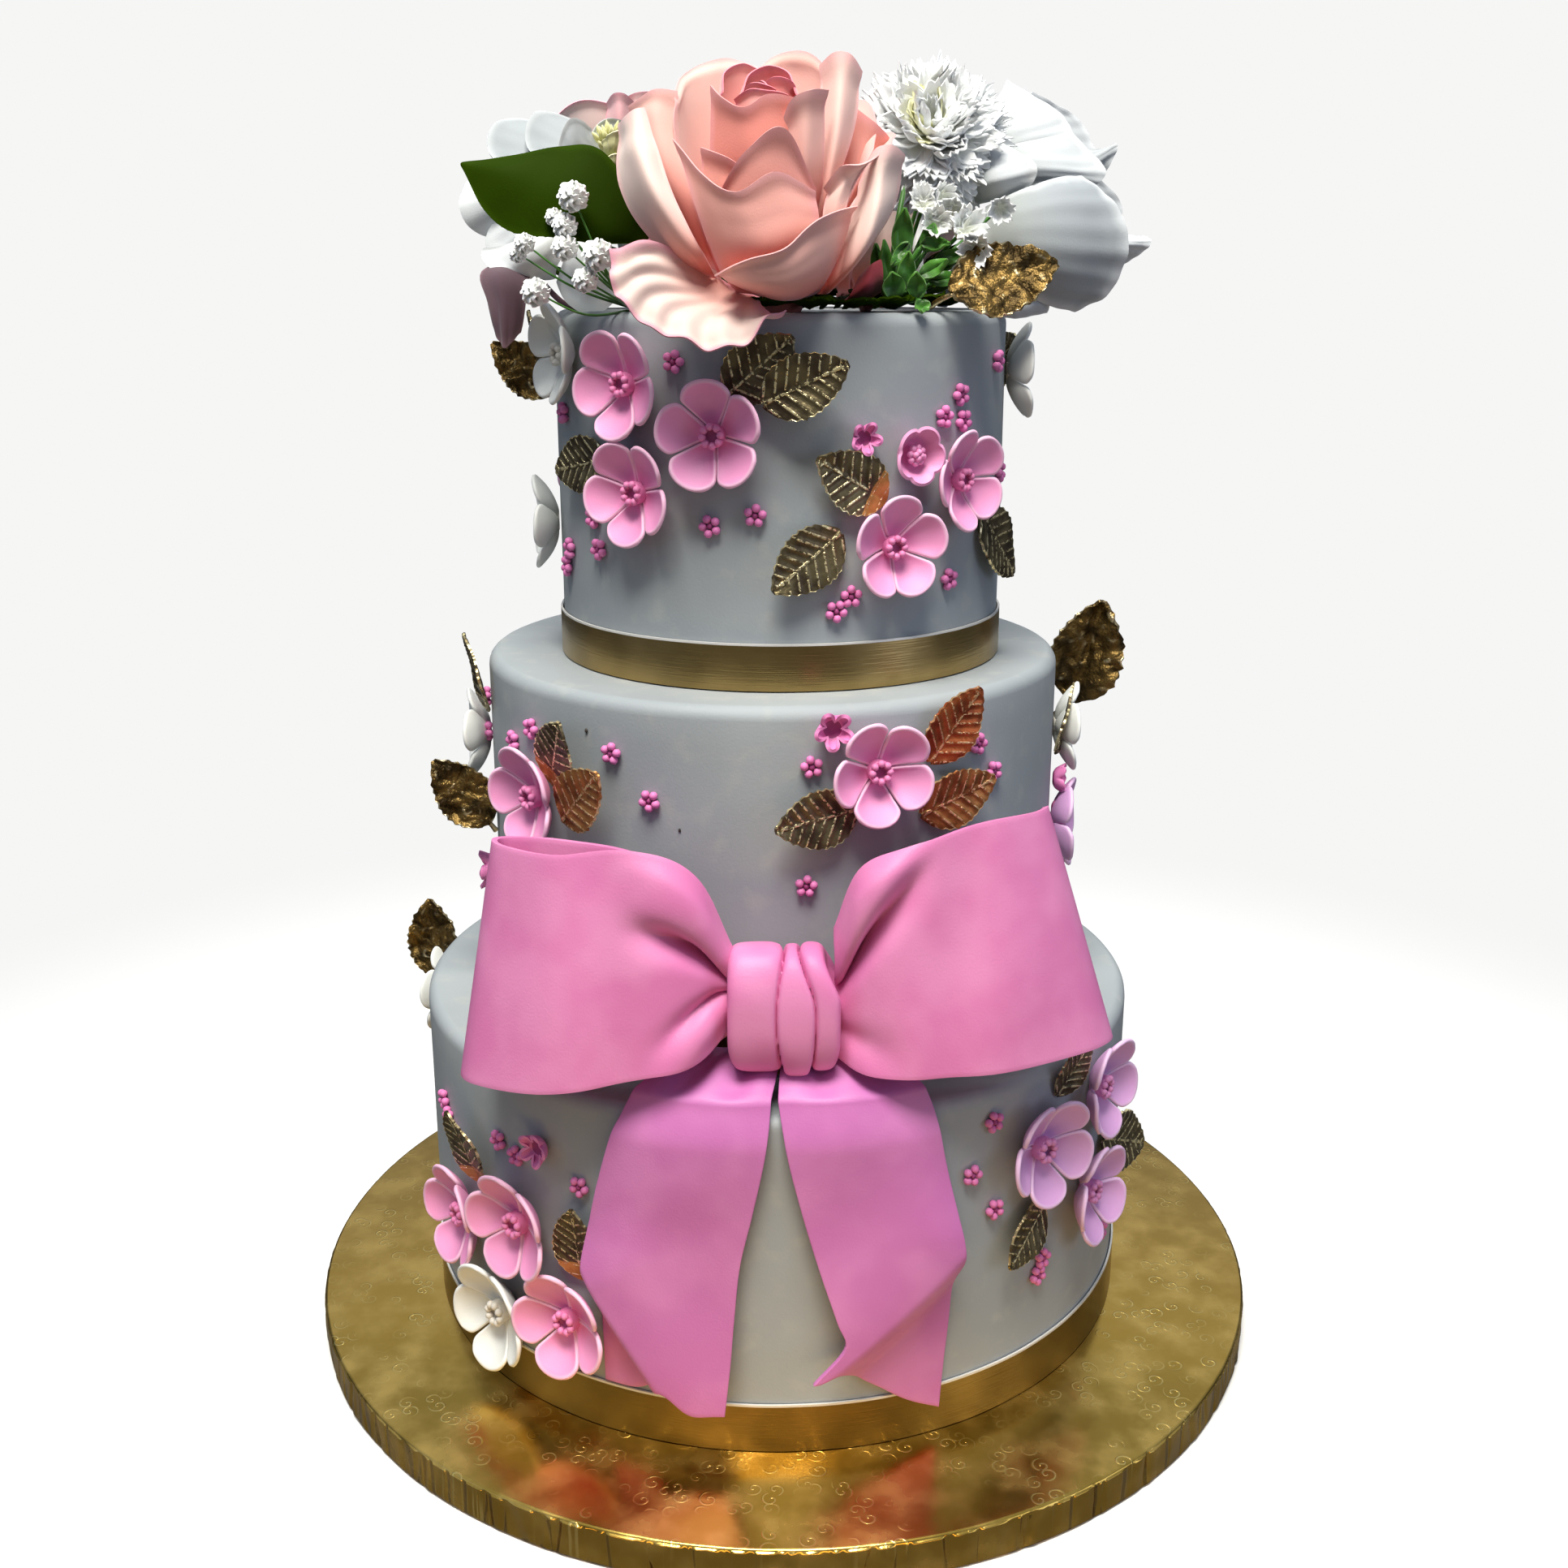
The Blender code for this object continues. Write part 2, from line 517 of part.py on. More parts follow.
# Each flower's rows run from its stem end up the outside, over the rim, down inside and up
# its heart: radius, height, and how far the petals make the row swell and dip.
ROSE_ROWS = (
    (0.10, 0.00, 0.00), (0.55, 0.10, 0.00), (0.86, 0.38, 0.03), (0.98, 0.74, 0.06),
    (1.00, 0.94, 0.09), (0.90, 0.93, 0.09), (0.72, 0.60, 0.04), (0.52, 0.52, 0.02),
    (0.46, 0.86, 0.05), (0.24, 1.00, 0.04))
OPEN_ROWS = (
    (0.10, 0.00, 0.00), (0.14, 0.20, 0.00), (0.60, 0.40, 0.03), (0.92, 0.69, 0.08),
    (1.00, 0.94, 0.10), (0.86, 0.84, 0.07), (0.52, 0.60, 0.03), (0.26, 0.57, 0.00),
    (0.16, 0.71, 0.00))
POMPON_ROWS = (
    (0.12, 0.00, 0.00), (0.14, 0.38, 0.00), (0.62, 0.40, 0.06), (0.98, 0.58, 0.10),
    (0.96, 0.78, 0.10), (0.62, 0.95, 0.08), (0.20, 1.00, 0.03))

# name: rows, place of the stem end, lean towards, lean, radius, height, petals, finish
FLOWERS = {
    "rose_front": (ROSE_ROWS, (-0.008, -0.040, 0.0024), 0, 22, 0.0405, 0.066, 5, "cloth_salmon"),
    "rose_rear": (ROSE_ROWS, (-0.030, 0.034, 0.001), -150, 8, 0.0280, 0.066, 5, "cloth_salmon"),
    "rose_back": (ROSE_ROWS, (0.030, 0.040, 0.002), 150, 18, 0.0290, 0.058, 5, "cloth_salmon"),
    "bloom_left": (OPEN_ROWS, (-0.0515, -0.0005, 0.0028), -80, 36, 0.0345, 0.052, 6, "cloth_white"),
    "peony_right": (OPEN_ROWS, (0.0545, 0.0230, 0.0034), 85, 50, 0.0335, 0.059, 6, "cloth_white"),
    "chrysanthemum": (POMPON_ROWS, (0.046, -0.022, 0.001), 40, 4, 0.0255, 0.073, 8, "cloth_white"),
}

LOW_PETAL = (                   # the front rose's drooping petal, from its foot to its edge
    ((-0.0270, -0.0700, 0.3732), (-0.0190, -0.0700, 0.3728), (-0.0110, -0.0700, 0.3728),
     (-0.0040, -0.0700, 0.3730)),
    ((-0.0400, -0.0800, 0.3800), (-0.0300, -0.0860, 0.3745), (-0.0150, -0.0880, 0.3725),
     (-0.0010, -0.0850, 0.3735)),
    ((-0.0505, -0.0850, 0.3835), (-0.0405, -0.0905, 0.3655), (-0.0170, -0.0930, 0.3605),
     (0.0010, -0.0885, 0.3720)))
MAUVE_PETAL = (
    ((-0.0640, -0.0250, 0.3722), (-0.0650, -0.0280, 0.3722), (-0.0660, -0.0310, 0.3722)),
    ((-0.0790, -0.0400, 0.3770), (-0.0880, -0.0400, 0.3800), (-0.0960, -0.0400, 0.3810)),
    ((-0.0800, -0.0430, 0.3700), (-0.0870, -0.0440, 0.3700), (-0.0950, -0.0430, 0.3710)),
    ((-0.0810, -0.0450, 0.3630), (-0.0840, -0.0460, 0.3610), (-0.0890, -0.0450, 0.3640)))
PETAL_CLOTH = 0.0010

GREEN_LEAF_FOOT = Vector((-0.0390, -0.0550, 0.3724))
GREEN_LEAF_BASE = Vector((-0.0470, -0.0640, 0.3940))
GREEN_LEAF_TIP = Vector((-0.0960, -0.0600, 0.4140))
GREEN_LEAF_HALF_WIDTH = 0.0135
GREEN_LEAF_CUP = 0.12           # how far its edges come forward, as a share of the half width
GREEN_LEAF_STEPS = 7
STALK_WIDTH = 0.0016

# Uneven clusters of many small things: centre, foot of the stalks, half sizes, bumps, finish
CLUSTERS = {
    "babys_breath": ((-0.0660, -0.0740, 0.3900), (-0.0460, -0.0530, 0.3718),
                     (0.0150, 0.0065, 0.0160), 5, "cloth_white"),
    "sprig_green": ((0.0400, -0.0600, 0.3860), (0.0330, -0.0530, 0.3718),
                    (0.0080, 0.0070, 0.0115), 4, "cloth_green"),
}
CLUSTER_UNEVENNESS = 0.14


def make_flower(name, rows, stem, towards, lean, radius, height, petals, colour):
    """A cup of petals round a heart, as rings that swell once for each petal."""
    around = 3 * petals
    rings = []
    for row, (share, rise, ripple) in enumerate(rows):
        ring = []
        for i in range(around):
            angle = 360 * i / around
            swell = math.cos(math.radians(petals * angle + 70 * row))
            ring.append(turn(radius * share * (1 + ripple * swell), angle,
                             height * (rise + 0.5 * ripple * swell)))
        rings.append(ring)
    bm = bmesh.new()
    closed_rings(bm, rings)
    foot = Matrix.Translation(Vector(stem) + Vector((0, 0, CAKE_TOP)))
    tip = Matrix.Rotation(math.radians(towards), 4, "Z") @ Matrix.Rotation(math.radians(lean), 4, "X")
    place(name, mesh_from(bm, name), colour, foot @ tip)


def make_cloth_petal(name, rows, colour):
    thicken(place(name, sheet_mesh(name, rows), colour), PETAL_CLOTH)


def make_green_leaf():
    """One broad pointed leaf that lies slantwise, cupped along its midrib."""
    along = GREEN_LEAF_TIP - GREEN_LEAF_BASE
    up = along.cross(Vector((0, 1, 0))).normalized()
    stalk = Vector((STALK_WIDTH / 2, 0, 0))
    rows = [[GREEN_LEAF_FOOT + stalk, GREEN_LEAF_FOOT, GREEN_LEAF_FOOT - stalk]]
    for i in range(GREEN_LEAF_STEPS):
        t = 0.02 + 0.96 * i / (GREEN_LEAF_STEPS - 1)
        half = GREEN_LEAF_HALF_WIDTH * math.sin(math.pi * t ** 0.8) ** 0.8
        middle = GREEN_LEAF_BASE + along * t
        cup = Vector((0, -GREEN_LEAF_CUP * half, 0))
        rows.append([middle - up * half + cup, middle, middle + up * half + cup])
    thicken(place("leaf_green", sheet_mesh("leaf_green", rows), "cloth_green"), PETAL_CLOTH)


def make_cluster(name, centre, foot, half_sizes, bumps, colour):
    """The uneven outline of a small cluster: a ball with bumps, drawn down to its foot."""
    bm = bmesh.new()
    bmesh.ops.create_icosphere(bm, subdivisions=2, radius=1.0)
    for vert in bm.verts:
        x, y, z = vert.co
        swell = 1 + CLUSTER_UNEVENNESS * math.sin(bumps * x + 1) * math.cos(bumps * z - y)
        vert.co = Vector((x * half_sizes[0], y * half_sizes[1], z * half_sizes[2])) * swell
    lowest = min(bm.verts, key=lambda vert: vert.co.z)
    lowest.co = Vector(foot) - Vector(centre)
    place(name, mesh_from(bm, name), colour, Matrix.Translation(centre))


# ---------------------------------------------------------------- the cake


def clear_scene():
    for item in list(bpy.data.objects):
        bpy.data.objects.remove(item, do_unlink=True)


def make_cake():
    clear_scene()
    make_board()
    axes = {tier: make_tier_axis(tier) for tier in TIER_RADIUS}
    for tier, axis in axes.items():
        make_tier(tier, axis)
        make_ribbon(tier, axis)
    make_knot()
    make_loop("bow_loop_left", LEFT_LOOP)
    make_loop("bow_loop_right", RIGHT_LOOP)
    make_tail("left", LEFT_TAIL)
    make_tail("right", RIGHT_TAIL)
    make_blossoms(axes)
    make_leaves(axes)
    for name, flower in FLOWERS.items():
        make_flower(name, *flower)
    for name, cluster in CLUSTERS.items():
        make_cluster(name, *cluster)
    make_cloth_petal("rose_low_petal", LOW_PETAL, "cloth_salmon")
    make_cloth_petal("petal_mauve", MAUVE_PETAL, "cloth_mauve")
    make_green_leaf()


make_cake()
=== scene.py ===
# %% [markdown]
# # A tiered cake with a sugar bow
# Three grey tiers stand on a gold board. A pink bow hangs on the front, sugar blossoms and gilded
# leaves are stuck on the sides, and a posy of cloth flowers lies on the top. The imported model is
# the frame: it says how large each piece is and where it sits. This lesson replaces its plain
# solids by pieces with the true thickness, folds and surface.

import math

import bpy
from mathutils import Matrix, Vector, noise


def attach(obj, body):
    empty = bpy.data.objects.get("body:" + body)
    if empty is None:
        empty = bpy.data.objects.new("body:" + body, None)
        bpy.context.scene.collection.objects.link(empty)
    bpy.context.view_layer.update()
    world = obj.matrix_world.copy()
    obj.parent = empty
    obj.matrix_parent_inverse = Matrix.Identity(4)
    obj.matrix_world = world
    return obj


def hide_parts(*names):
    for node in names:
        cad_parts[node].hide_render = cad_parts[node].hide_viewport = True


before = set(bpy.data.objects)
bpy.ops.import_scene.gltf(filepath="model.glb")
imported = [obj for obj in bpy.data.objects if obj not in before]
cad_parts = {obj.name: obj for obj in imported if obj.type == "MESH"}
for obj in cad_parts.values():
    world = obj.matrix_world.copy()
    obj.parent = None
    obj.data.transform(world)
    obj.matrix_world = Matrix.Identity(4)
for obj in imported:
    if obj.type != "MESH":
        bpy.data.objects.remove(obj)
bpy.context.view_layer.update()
MM = 0.001

# %% [markdown]
# ## The camera
# The picture was taken with a phone, a little above the middle of the cake and tilted down by
# 16.5 degrees. The rims of the tiers and of the board were fitted as ellipses, and this lens and
# place bring them all back to within a few pixels.

# %% Camera
LENS, SENSOR = 39.02, 36.0                 # mm
TILT = 0.2873                              # radians down from level
camera = bpy.data.objects.new("camera", bpy.data.cameras.new("camera"))
bpy.context.scene.collection.objects.link(camera)
camera.data.lens = LENS
camera.data.sensor_width = SENSOR
camera.location = (0.0, -0.6036, 0.3801)
camera.rotation_euler = (math.pi / 2 - TILT, 0.0, 0.0)
bpy.context.scene.camera = camera
print("camera at", tuple(camera.location))

# %% [markdown]
# ## Working in edit mode
# An operator acts on whatever is selected, and the frame's nodes are still selected. So each step
# first selects just what it needs: one piece, then the faces or edges that pass a test of place.

# %% Selecting
def only(piece):
    """Select one piece and nothing else."""
    bpy.ops.object.select_all(action="DESELECT")
    piece.select_set(True)
    bpy.context.view_layer.objects.active = piece


def edit(piece, kind="polygons", test=None):
    """Enter edit mode with the edges or polygons selected whose points pass a test."""
    only(piece)
    mesh = piece.data
    for group in (mesh.vertices, mesh.edges, mesh.polygons):
        group.foreach_set("select", [False] * len(group))
    for item in getattr(mesh, kind):
        item.select = test is None or test([mesh.vertices[i].co for i in item.vertices])
    modes = ("vertices", "edges", "polygons")
    bpy.context.tool_settings.mesh_select_mode = [kind == mode for mode in modes]
    bpy.ops.object.mode_set(mode="EDIT")


def leave():
    """Go back from edit mode to object mode."""
    bpy.ops.object.mode_set(mode="OBJECT")


def primitive(kind, **sizes):
    """Add a primitive at its size and place, with nothing else selected."""
    bpy.ops.object.select_all(action="DESELECT")
    getattr(bpy.ops.mesh, f"primitive_{kind}_add")(**sizes)
    return bpy.context.object


def closed(piece, gap):
    """Merge a sheet's seam and poles, and turn its faces outwards."""
    edit(piece)
    bpy.ops.mesh.remove_doubles(threshold=gap)
    bpy.ops.mesh.normals_make_consistent(inside=False)
    leave()
    return piece


def settle(piece, name, angle=35):
    """Put a piece's place into its mesh, name it and shade it smooth."""
    only(piece)
    bpy.ops.object.transform_apply(location=True, rotation=True, scale=True)
    bpy.ops.object.shade_smooth_by_angle(angle=math.radians(angle))
    piece.name = piece.data.name = name
    return piece


def modify(piece, kind, **settings):
    """Add a modifier with its settings and apply it at once."""
    only(piece)
    modifier = piece.modifiers.new(kind.lower(), kind)
    for name, value in settings.items():
        setattr(modifier, name, value)
    bpy.ops.object.modifier_apply(modifier=modifier.name)


def join(pieces, name):
    """Join pieces into the first one."""
    bpy.ops.object.select_all(action="DESELECT")
    for piece in pieces:
        piece.select_set(True)
    bpy.context.view_layer.objects.active = pieces[0]
    if len(pieces) > 1:
        bpy.ops.object.join()
    pieces[0].name = pieces[0].data.name = name
    return pieces[0]


def copy_of(model, name, matrix, size=1.0):
    """A copy of a model with its own mesh, moved to its place."""
    twin = model.copy()
    twin.data = model.data.copy()
    twin.name = twin.data.name = name
    twin.data.transform(matrix @ Matrix.Scale(size, 4))
    bpy.context.scene.collection.objects.link(twin)
    return twin


def finished(piece, slot, *nodes):
    """The piece belongs to the cake and stands for these nodes. Its slot is not used."""
    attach(piece, "root")
    if nodes:
        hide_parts(*nodes)


def dress(piece, name, angle, material, slot, *nodes):
    """Give a piece its one material and its name, shade it smooth and hand it over."""
    piece.data.materials.clear()
    piece.data.materials.append(material)
    finished(settle(piece, name, angle), slot, *nodes)
    print(name, [round(side / MM, 1) for side in piece.dimensions], "mm,", len(piece.data.polygons), "faces")

# %% [markdown]
# ## Sheets
# Petals, leaves and straps are rolled or cut flat and then shaped in the hand. Here each one
# starts as a flat grid. Edit-mode operators can't give it a petal's double curve, so every
# vertex is moved to the place that a small function gives for its u across and its v along.
# The sheet also keeps two values for its material: how near the rim a point is, and how far
# along it is.

# %% Sheet helpers
def ease(x, low=0.0, high=1.0):
    """0 below low, 1 above high, and a soft step between them."""
    t = min(max((x - low) / (high - low), 0.0), 1.0)
    return t * t * (3 - 2 * t)


def hump(x, centre, width):
    """A soft ridge of height 1."""
    return math.exp(-((x - centre) / width) ** 2)


def paint(piece, name, values):
    """Keep one number for each vertex, for the material to read."""
    layer = piece.data.attributes.get(name) or piece.data.attributes.new(name, "FLOAT", "POINT")
    layer.data.foreach_set("value", values)


def sheet(name, across, along, place, tone=0.0):
    """A grid whose vertices move to place(u, v), u from -1 to 1 and v from 0 to 1."""
    piece = primitive("grid", x_subdivisions=across, y_subdivisions=along, size=2)
    flat = [(vertex.co.x, (vertex.co.y + 1) / 2) for vertex in piece.data.vertices]
    for vertex, (u, v) in zip(piece.data.vertices, flat):
        vertex.co = place(u, v)
    paint(piece, "rim", [max(abs(u), abs(2 * v - 1)) for u, v in flat])
    paint(piece, "along", [v for u, v in flat])
    paint(piece, "tone", [tone] * len(flat))
    piece.name = piece.data.name = name
    return piece


def curve_through(keys, t):
    """A point at t, from 0 to 1, on the smooth curve through key points."""
    keys = [Vector(key) for key in keys]
    ends = [keys[0] * 2 - keys[1]] + keys + [keys[-1] * 2 - keys[-2]]
    along = min(max(t, 0.0), 1.0) * (len(keys) - 1)
    i = min(int(along), len(keys) - 2)
    t = along - i
    a, b, c, d = ends[i:i + 4]
    return 0.5 * (2 * b + (c - a) * t + (2 * a - 5 * b + 4 * c - d) * t ** 2
                  + (3 * b - a - 3 * c + d) * t ** 3)

# %% [markdown]
# ## Materials
# Colours are written as they look on a screen, in sRGB, and one function turns them to the
# linear values that Blender works with. One function adds a node with its settings and links.

# %% Colour and node helpers
def linear(hex_colour):
    """An sRGB hex value as linear red, green, blue and alpha."""
    parts = [int(hex_colour[i:i + 2], 16) / 255 for i in (1, 3, 5)]
    return [p / 12.92 if p <= 0.04045 else ((p + 0.055) / 1.055) ** 2.4 for p in parts] + [1.0]


def new_material(name, colour, **settings):
    """A Principled material of one colour, with constant values on its own sockets."""
    material = bpy.data.materials.new(name)
    material.use_nodes = True
    shader = material.node_tree.nodes["Principled BSDF"]
    shader.inputs["Base Color"].default_value = linear(colour)
    for socket, value in settings.items():
        shader.inputs[socket.replace("_", " ").title().replace("Ior", "IOR")].default_value = value
    return material


def add(material, kind, inputs=(), output=0, **settings):
    """Add a node with its settings and inputs, and give one of its outputs.

    Inputs are listed in the order of the sockets, or named. Each is a constant, a colour in
    hex or another node's output.
    """
    node = material.node_tree.nodes.new("ShaderNode" + kind)
    for name, value in settings.items():
        setattr(node, name, value)
    for name, value in (inputs if isinstance(inputs, dict) else dict(enumerate(inputs))).items():
        if isinstance(value, bpy.types.NodeSocket):
            material.node_tree.links.new(value, node.inputs[name])
        else:
            node.inputs[name].default_value = linear(value) if isinstance(value, str) else value
    return node.outputs[output]


def feed(material, socket, output):
    """Link an output to the Principled shader."""
    shader = material.node_tree.nodes["Principled BSDF"]
    material.node_tree.links.new(output, shader.inputs[socket])


SOFT = {"interpolation_type": "SMOOTHSTEP"}     # for a Map Range: from 0 to 1 between two limits
COLOURS = {"data_type": "RGBA"}                 # for a Mix: its colours are sockets 6 and 7, its output 2

# %% Patterns of a real size
def blobs(material, size_mm, detail=2.0):
    """A cloudy pattern whose blobs are about this many millimetres across."""
    place = add(material, "TexCoord", output="Object")
    return add(material, "TexNoise", {"Vector": place, "Scale": 1 / (size_mm * MM), "Detail": detail})


def clouds(material, size_mm, low, high, detail=2.0, share=1.0):
    """Clouds with soft edges: 0 where the blobs are below low, and share where above high."""
    return add(material, "MapRange", (blobs(material, size_mm, detail), low, high, 0.0, share), **SOFT)


def press_grain(material, size_mm, depth_mm, detail=2.0):
    """Press a fine grain into a surface. Its size is real or, if that is too fine, the least that shows."""
    height = blobs(material, size_mm, detail)
    feed(material, "Normal", add(material, "Bump", {"Height": height, "Distance": depth_mm * MM}))

# %% [markdown]
# ## Studio
# The picture was lit by one large soft lamp overhead, a little in front, so the ledges are
# bright and shadows fall straight down. Gold only looks like gold when it has something dark
# to reflect. So the room is bright above and dim at the horizon, while the camera itself sees a
# pale backdrop.

# %% Lights, room and floor
def soft_light(name, place, target, width, height, power, colour):
    """A rectangular lamp that looks at a target, sized in metres and with its power in watts."""
    light = bpy.data.lights.new(name, "AREA")
    light.shape = "RECTANGLE"
    light.size, light.size_y, light.energy = width, height, power
    light.color = linear(colour)[:3]
    lamp = bpy.data.objects.new(name, light)
    lamp.location = place
    lamp.rotation_euler = (Vector(target) - Vector(place)).to_track_quat("-Z", "Y").to_euler()
    bpy.context.scene.collection.objects.link(lamp)


soft_light("overhead", (-0.09, -0.66, 1.68), (0, -0.10, 0.22), 0.75, 0.55, 43.5, "#fffaf0")
soft_light("front_fill", (-0.50, -1.70, 0.55), (0, 0, 0.20), 1.20, 0.90, 0.8, "#ffffff")
soft_light("cool_right", (1.30, -0.75, 0.38), (0, 0, 0.12), 0.80, 0.60, 3.3, "#d4dfff")
soft_light("cool_left", (-1.40, -0.60, 0.50), (0, 0, 0.25), 0.80, 0.80, 1.3, "#c0d2ff")
soft_light("back_fill", (0.10, 1.60, 0.90), (0, 0, 0.22), 2.60, 0.90, 2.1, "#ffffff")
soft_light("rear_high", (0.05, 0.70, 1.70), (0, 0.10, 0.25), 0.70, 0.50, 5.0, "#ffffff")

# The foil throws warm light back up at the front of the cake. A path tracer finds little of it, so
# a long low lamp helps.
soft_light("foil_glow", (0, -0.32, 0.02), (0, -0.13, 0.04), 0.36, 0.05, 0.20, "#ffce80")

room = bpy.data.worlds.new("room")
bpy.context.scene.world = room
room.use_nodes = True
upwards = add(room, "SeparateXYZ", [add(room, "TexCoord", output="Generated")], "Z")
above = add(room, "MapRange", (upwards, 0.15, 0.80), **SOFT)
walls = add(room, "Mix", {0: above, 6: "#3e434b", 7: "#a8b2bf"}, 2, **COLOURS)
eye = add(room, "LightPath", output="Is Camera Ray")
backdrop = add(room, "Mix", {0: eye, 6: walls, 7: "#f6f6f5"}, 2, **COLOURS)
room.node_tree.links.new(backdrop, room.node_tree.nodes["Background"].inputs["Color"])
bpy.context.scene.view_settings.view_transform = "Standard"

floor = primitive("circle", vertices=96, radius=3.0, fill_type="NGON", location=(0, 0, -0.0002))
floor.name = "floor"
# Matt white paper for the camera, which runs into the pale backdrop without an edge. The light
# that it sends back to the cake is kept low, as from a dark table top.
paper = new_material("matt_paper", "#f1f1ef", roughness=0.9, specular_ior_level=0.0,
                     emission_color=linear("#f6f6f5"))
eye = add(paper, "LightPath", output="Is Camera Ray")
reach = add(paper, "VectorMath", [add(paper, "TexCoord", output="Object")], "Value", operation="LENGTH")
far = add(paper, "MapRange", (reach, 0.24, 0.60), **SOFT)
far = add(paper, "Math", (far, eye), operation="MULTIPLY")
near = add(paper, "Mix", {0: eye, 6: "#5c5c5a", 7: "#f1f1ef"}, 2, **COLOURS)
feed(paper, "Base Color", add(paper, "Mix", {0: far, 6: near, 7: "#000000"}, 2, **COLOURS))
feed(paper, "Emission Strength", far)
floor.data.materials.append(paper)

# %% [markdown]
# ## The board
# The drum under the cake is dense card wrapped in embossed gold foil. It is turned as one round
# block. The foil is folded down over the side, so there it has upright creases at uneven
# distances, which are pushed into the mesh. The foil is a metal skin, so its colour comes from
# what it reflects; shallow scrolls are pressed into it.

# %% Board foil
# Embossed metallised foil: bright, slightly hazy mirror. The embossing is small curls, each a line
# that winds out from the middle of a cell. Where the foil is folded down it is creased.
foil = new_material("embossed_foil", "#c9a24c", metallic=1.0, roughness=0.24)
place = add(foil, "TexCoord", output="Object")
CURL_CELL, CURL_PITCH = 8.0, 2.6           # mm between two curls, and between a curl's windings
middle = add(foil, "TexVoronoi", {"Vector": place, "Scale": 1 / (CURL_CELL * MM)}, "Position",
             voronoi_dimensions="2D")
cell = middle.node.outputs
offset = add(foil, "VectorMath", (place, middle), operation="SUBTRACT")
parts = add(foil, "SeparateXYZ", [offset]).node.outputs
facing = add(foil, "Math", (parts["Y"], parts["X"]), operation="ARCTAN2")
phase = add(foil, "Math", (cell["Distance"], 2 * math.pi * CURL_CELL / CURL_PITCH, facing),
            operation="MULTIPLY_ADD")
started = add(foil, "Math", (cell["Color"], 9.0, phase), operation="MULTIPLY_ADD")
winding = add(foil, "Math", [started], operation="SINE")
lines = add(foil, "MapRange", (winding, 0.55, 0.95), **SOFT)
ended = add(foil, "MapRange", (cell["Distance"], 0.46, 0.34), **SOFT)
patches = clouds(foil, 22, 0.42, 0.62, 1.0)
curls = add(foil, "Math", (lines, ended), operation="MULTIPLY")
scrolls = add(foil, "Math", (curls, patches), operation="MULTIPLY")
height_up = add(foil, "SeparateXYZ", [place], "Z")
on_side = add(foil, "MapRange", (height_up, 13.4 * MM, 12.2 * MM), **SOFT)
long_place = add(foil, "Mapping", {"Vector": place, "Scale": (1.0, 1.0, 0.12)})
fold = add(foil, "TexVoronoi", {"Vector": long_place, "Scale": 1 / (9 * MM)}, "Distance",
           feature="DISTANCE_TO_EDGE")
beside = add(foil, "MapRange", (fold, 0.0, 0.16), **SOFT)
creases = add(foil, "Math", (beside, on_side), operation="MULTIPLY")
pressed = add(foil, "Bump", {"Height": scrolls, "Distance": 0.06 * MM})
creased = add(foil, "Bump", {"Height": creases, "Distance": 0.9 * MM, "Normal": pressed})
orange_peel = add(foil, "Bump", {"Height": blobs(foil, 7), "Distance": 0.05 * MM, "Normal": creased})
feed(foil, "Normal", orange_peel)
worn = clouds(foil, 16, 0.35, 0.75, 3.0)
gold = add(foil, "Mix", {0: worn, 6: "#c39d46", 7: "#eac36a"}, 2, **COLOURS)
feed(foil, "Base Color", add(foil, "Mix", {0: scrolls, 6: gold, 7: "#efd07c"}, 2, **COLOURS))
feed(foil, "Roughness", add(foil, "MapRange", (worn, 0.0, 1.0, 0.18, 0.32)))

# %% Board
BOARD_RADIUS, BOARD_THICKNESS, BOARD_SIDES = 0.1785, 0.0139, 720


def round_block(name, radius, height, sides, low):
    """A cylinder that stands on a height, with its place in its mesh."""
    block = primitive("cylinder", vertices=sides, radius=radius, depth=height,
                      location=(0, 0, low + height / 2))
    block.name = name
    bpy.ops.object.transform_apply(location=True, rotation=True, scale=True)
    return block


def level(points, height):
    """Whether all these points lie at one height."""
    return all(abs(point.z - height) < 0.00001 for point in points)


def cut_levels(piece, heights):
    """Cut a piece straight across at some heights."""
    for cut in heights:
        edit(piece)
        bpy.ops.mesh.bisect(plane_co=(0, 0, cut), plane_no=(0, 0, 1))
        leave()


board = round_block("board_foiled", BOARD_RADIUS, BOARD_THICKNESS, BOARD_SIDES, 0.0)
edit(board, "edges", lambda p: level(p, 0.0) or level(p, BOARD_THICKNESS))
bpy.ops.mesh.bevel(offset=0.0012, segments=3, profile=0.5)
leave()
cut_levels(board, [BOARD_THICKNESS * i / 6 for i in (1, 2, 3, 4, 5)])

crease_angles = []
angle = 0.0
while angle < 360:
    crease_angles.append(angle)
    angle += 5.0 + 6.5 * (0.5 + 0.5 * noise.noise((angle * 0.37, 3.1, 0.0)) * 1.6)
for vertex in board.data.vertices:
    x, y, z = vertex.co
    reach = math.hypot(x, y)
    if reach < BOARD_RADIUS - 0.002:
        continue
    turn = math.degrees(math.atan2(y, x)) % 360
    inside = ease(z, 0.0, 0.0015) * (1 - ease(z, BOARD_THICKNESS - 0.0022, BOARD_THICKNESS))
    dent = 0.00035 * noise.noise((turn * 0.16, z * 130, 1.7))
    for number, place_round in enumerate(crease_angles):
        off = (turn - place_round - 60 * (z - 0.007) * (-1) ** number + 180) % 360 - 180
        depth = 0.0006 + 0.0006 * noise.noise((number * 1.7, 0.3, 0.0))
        if abs(off) < 4:
            dent -= depth * hump(off, 0.0, 0.42) - 0.00025 * hump(off, 1.0, 0.6)
    vertex.co.xy *= 1 + inside * min(dent, 0.0004) / reach
dress(board, "board_foiled", 40, foil, "board_foil", "board")
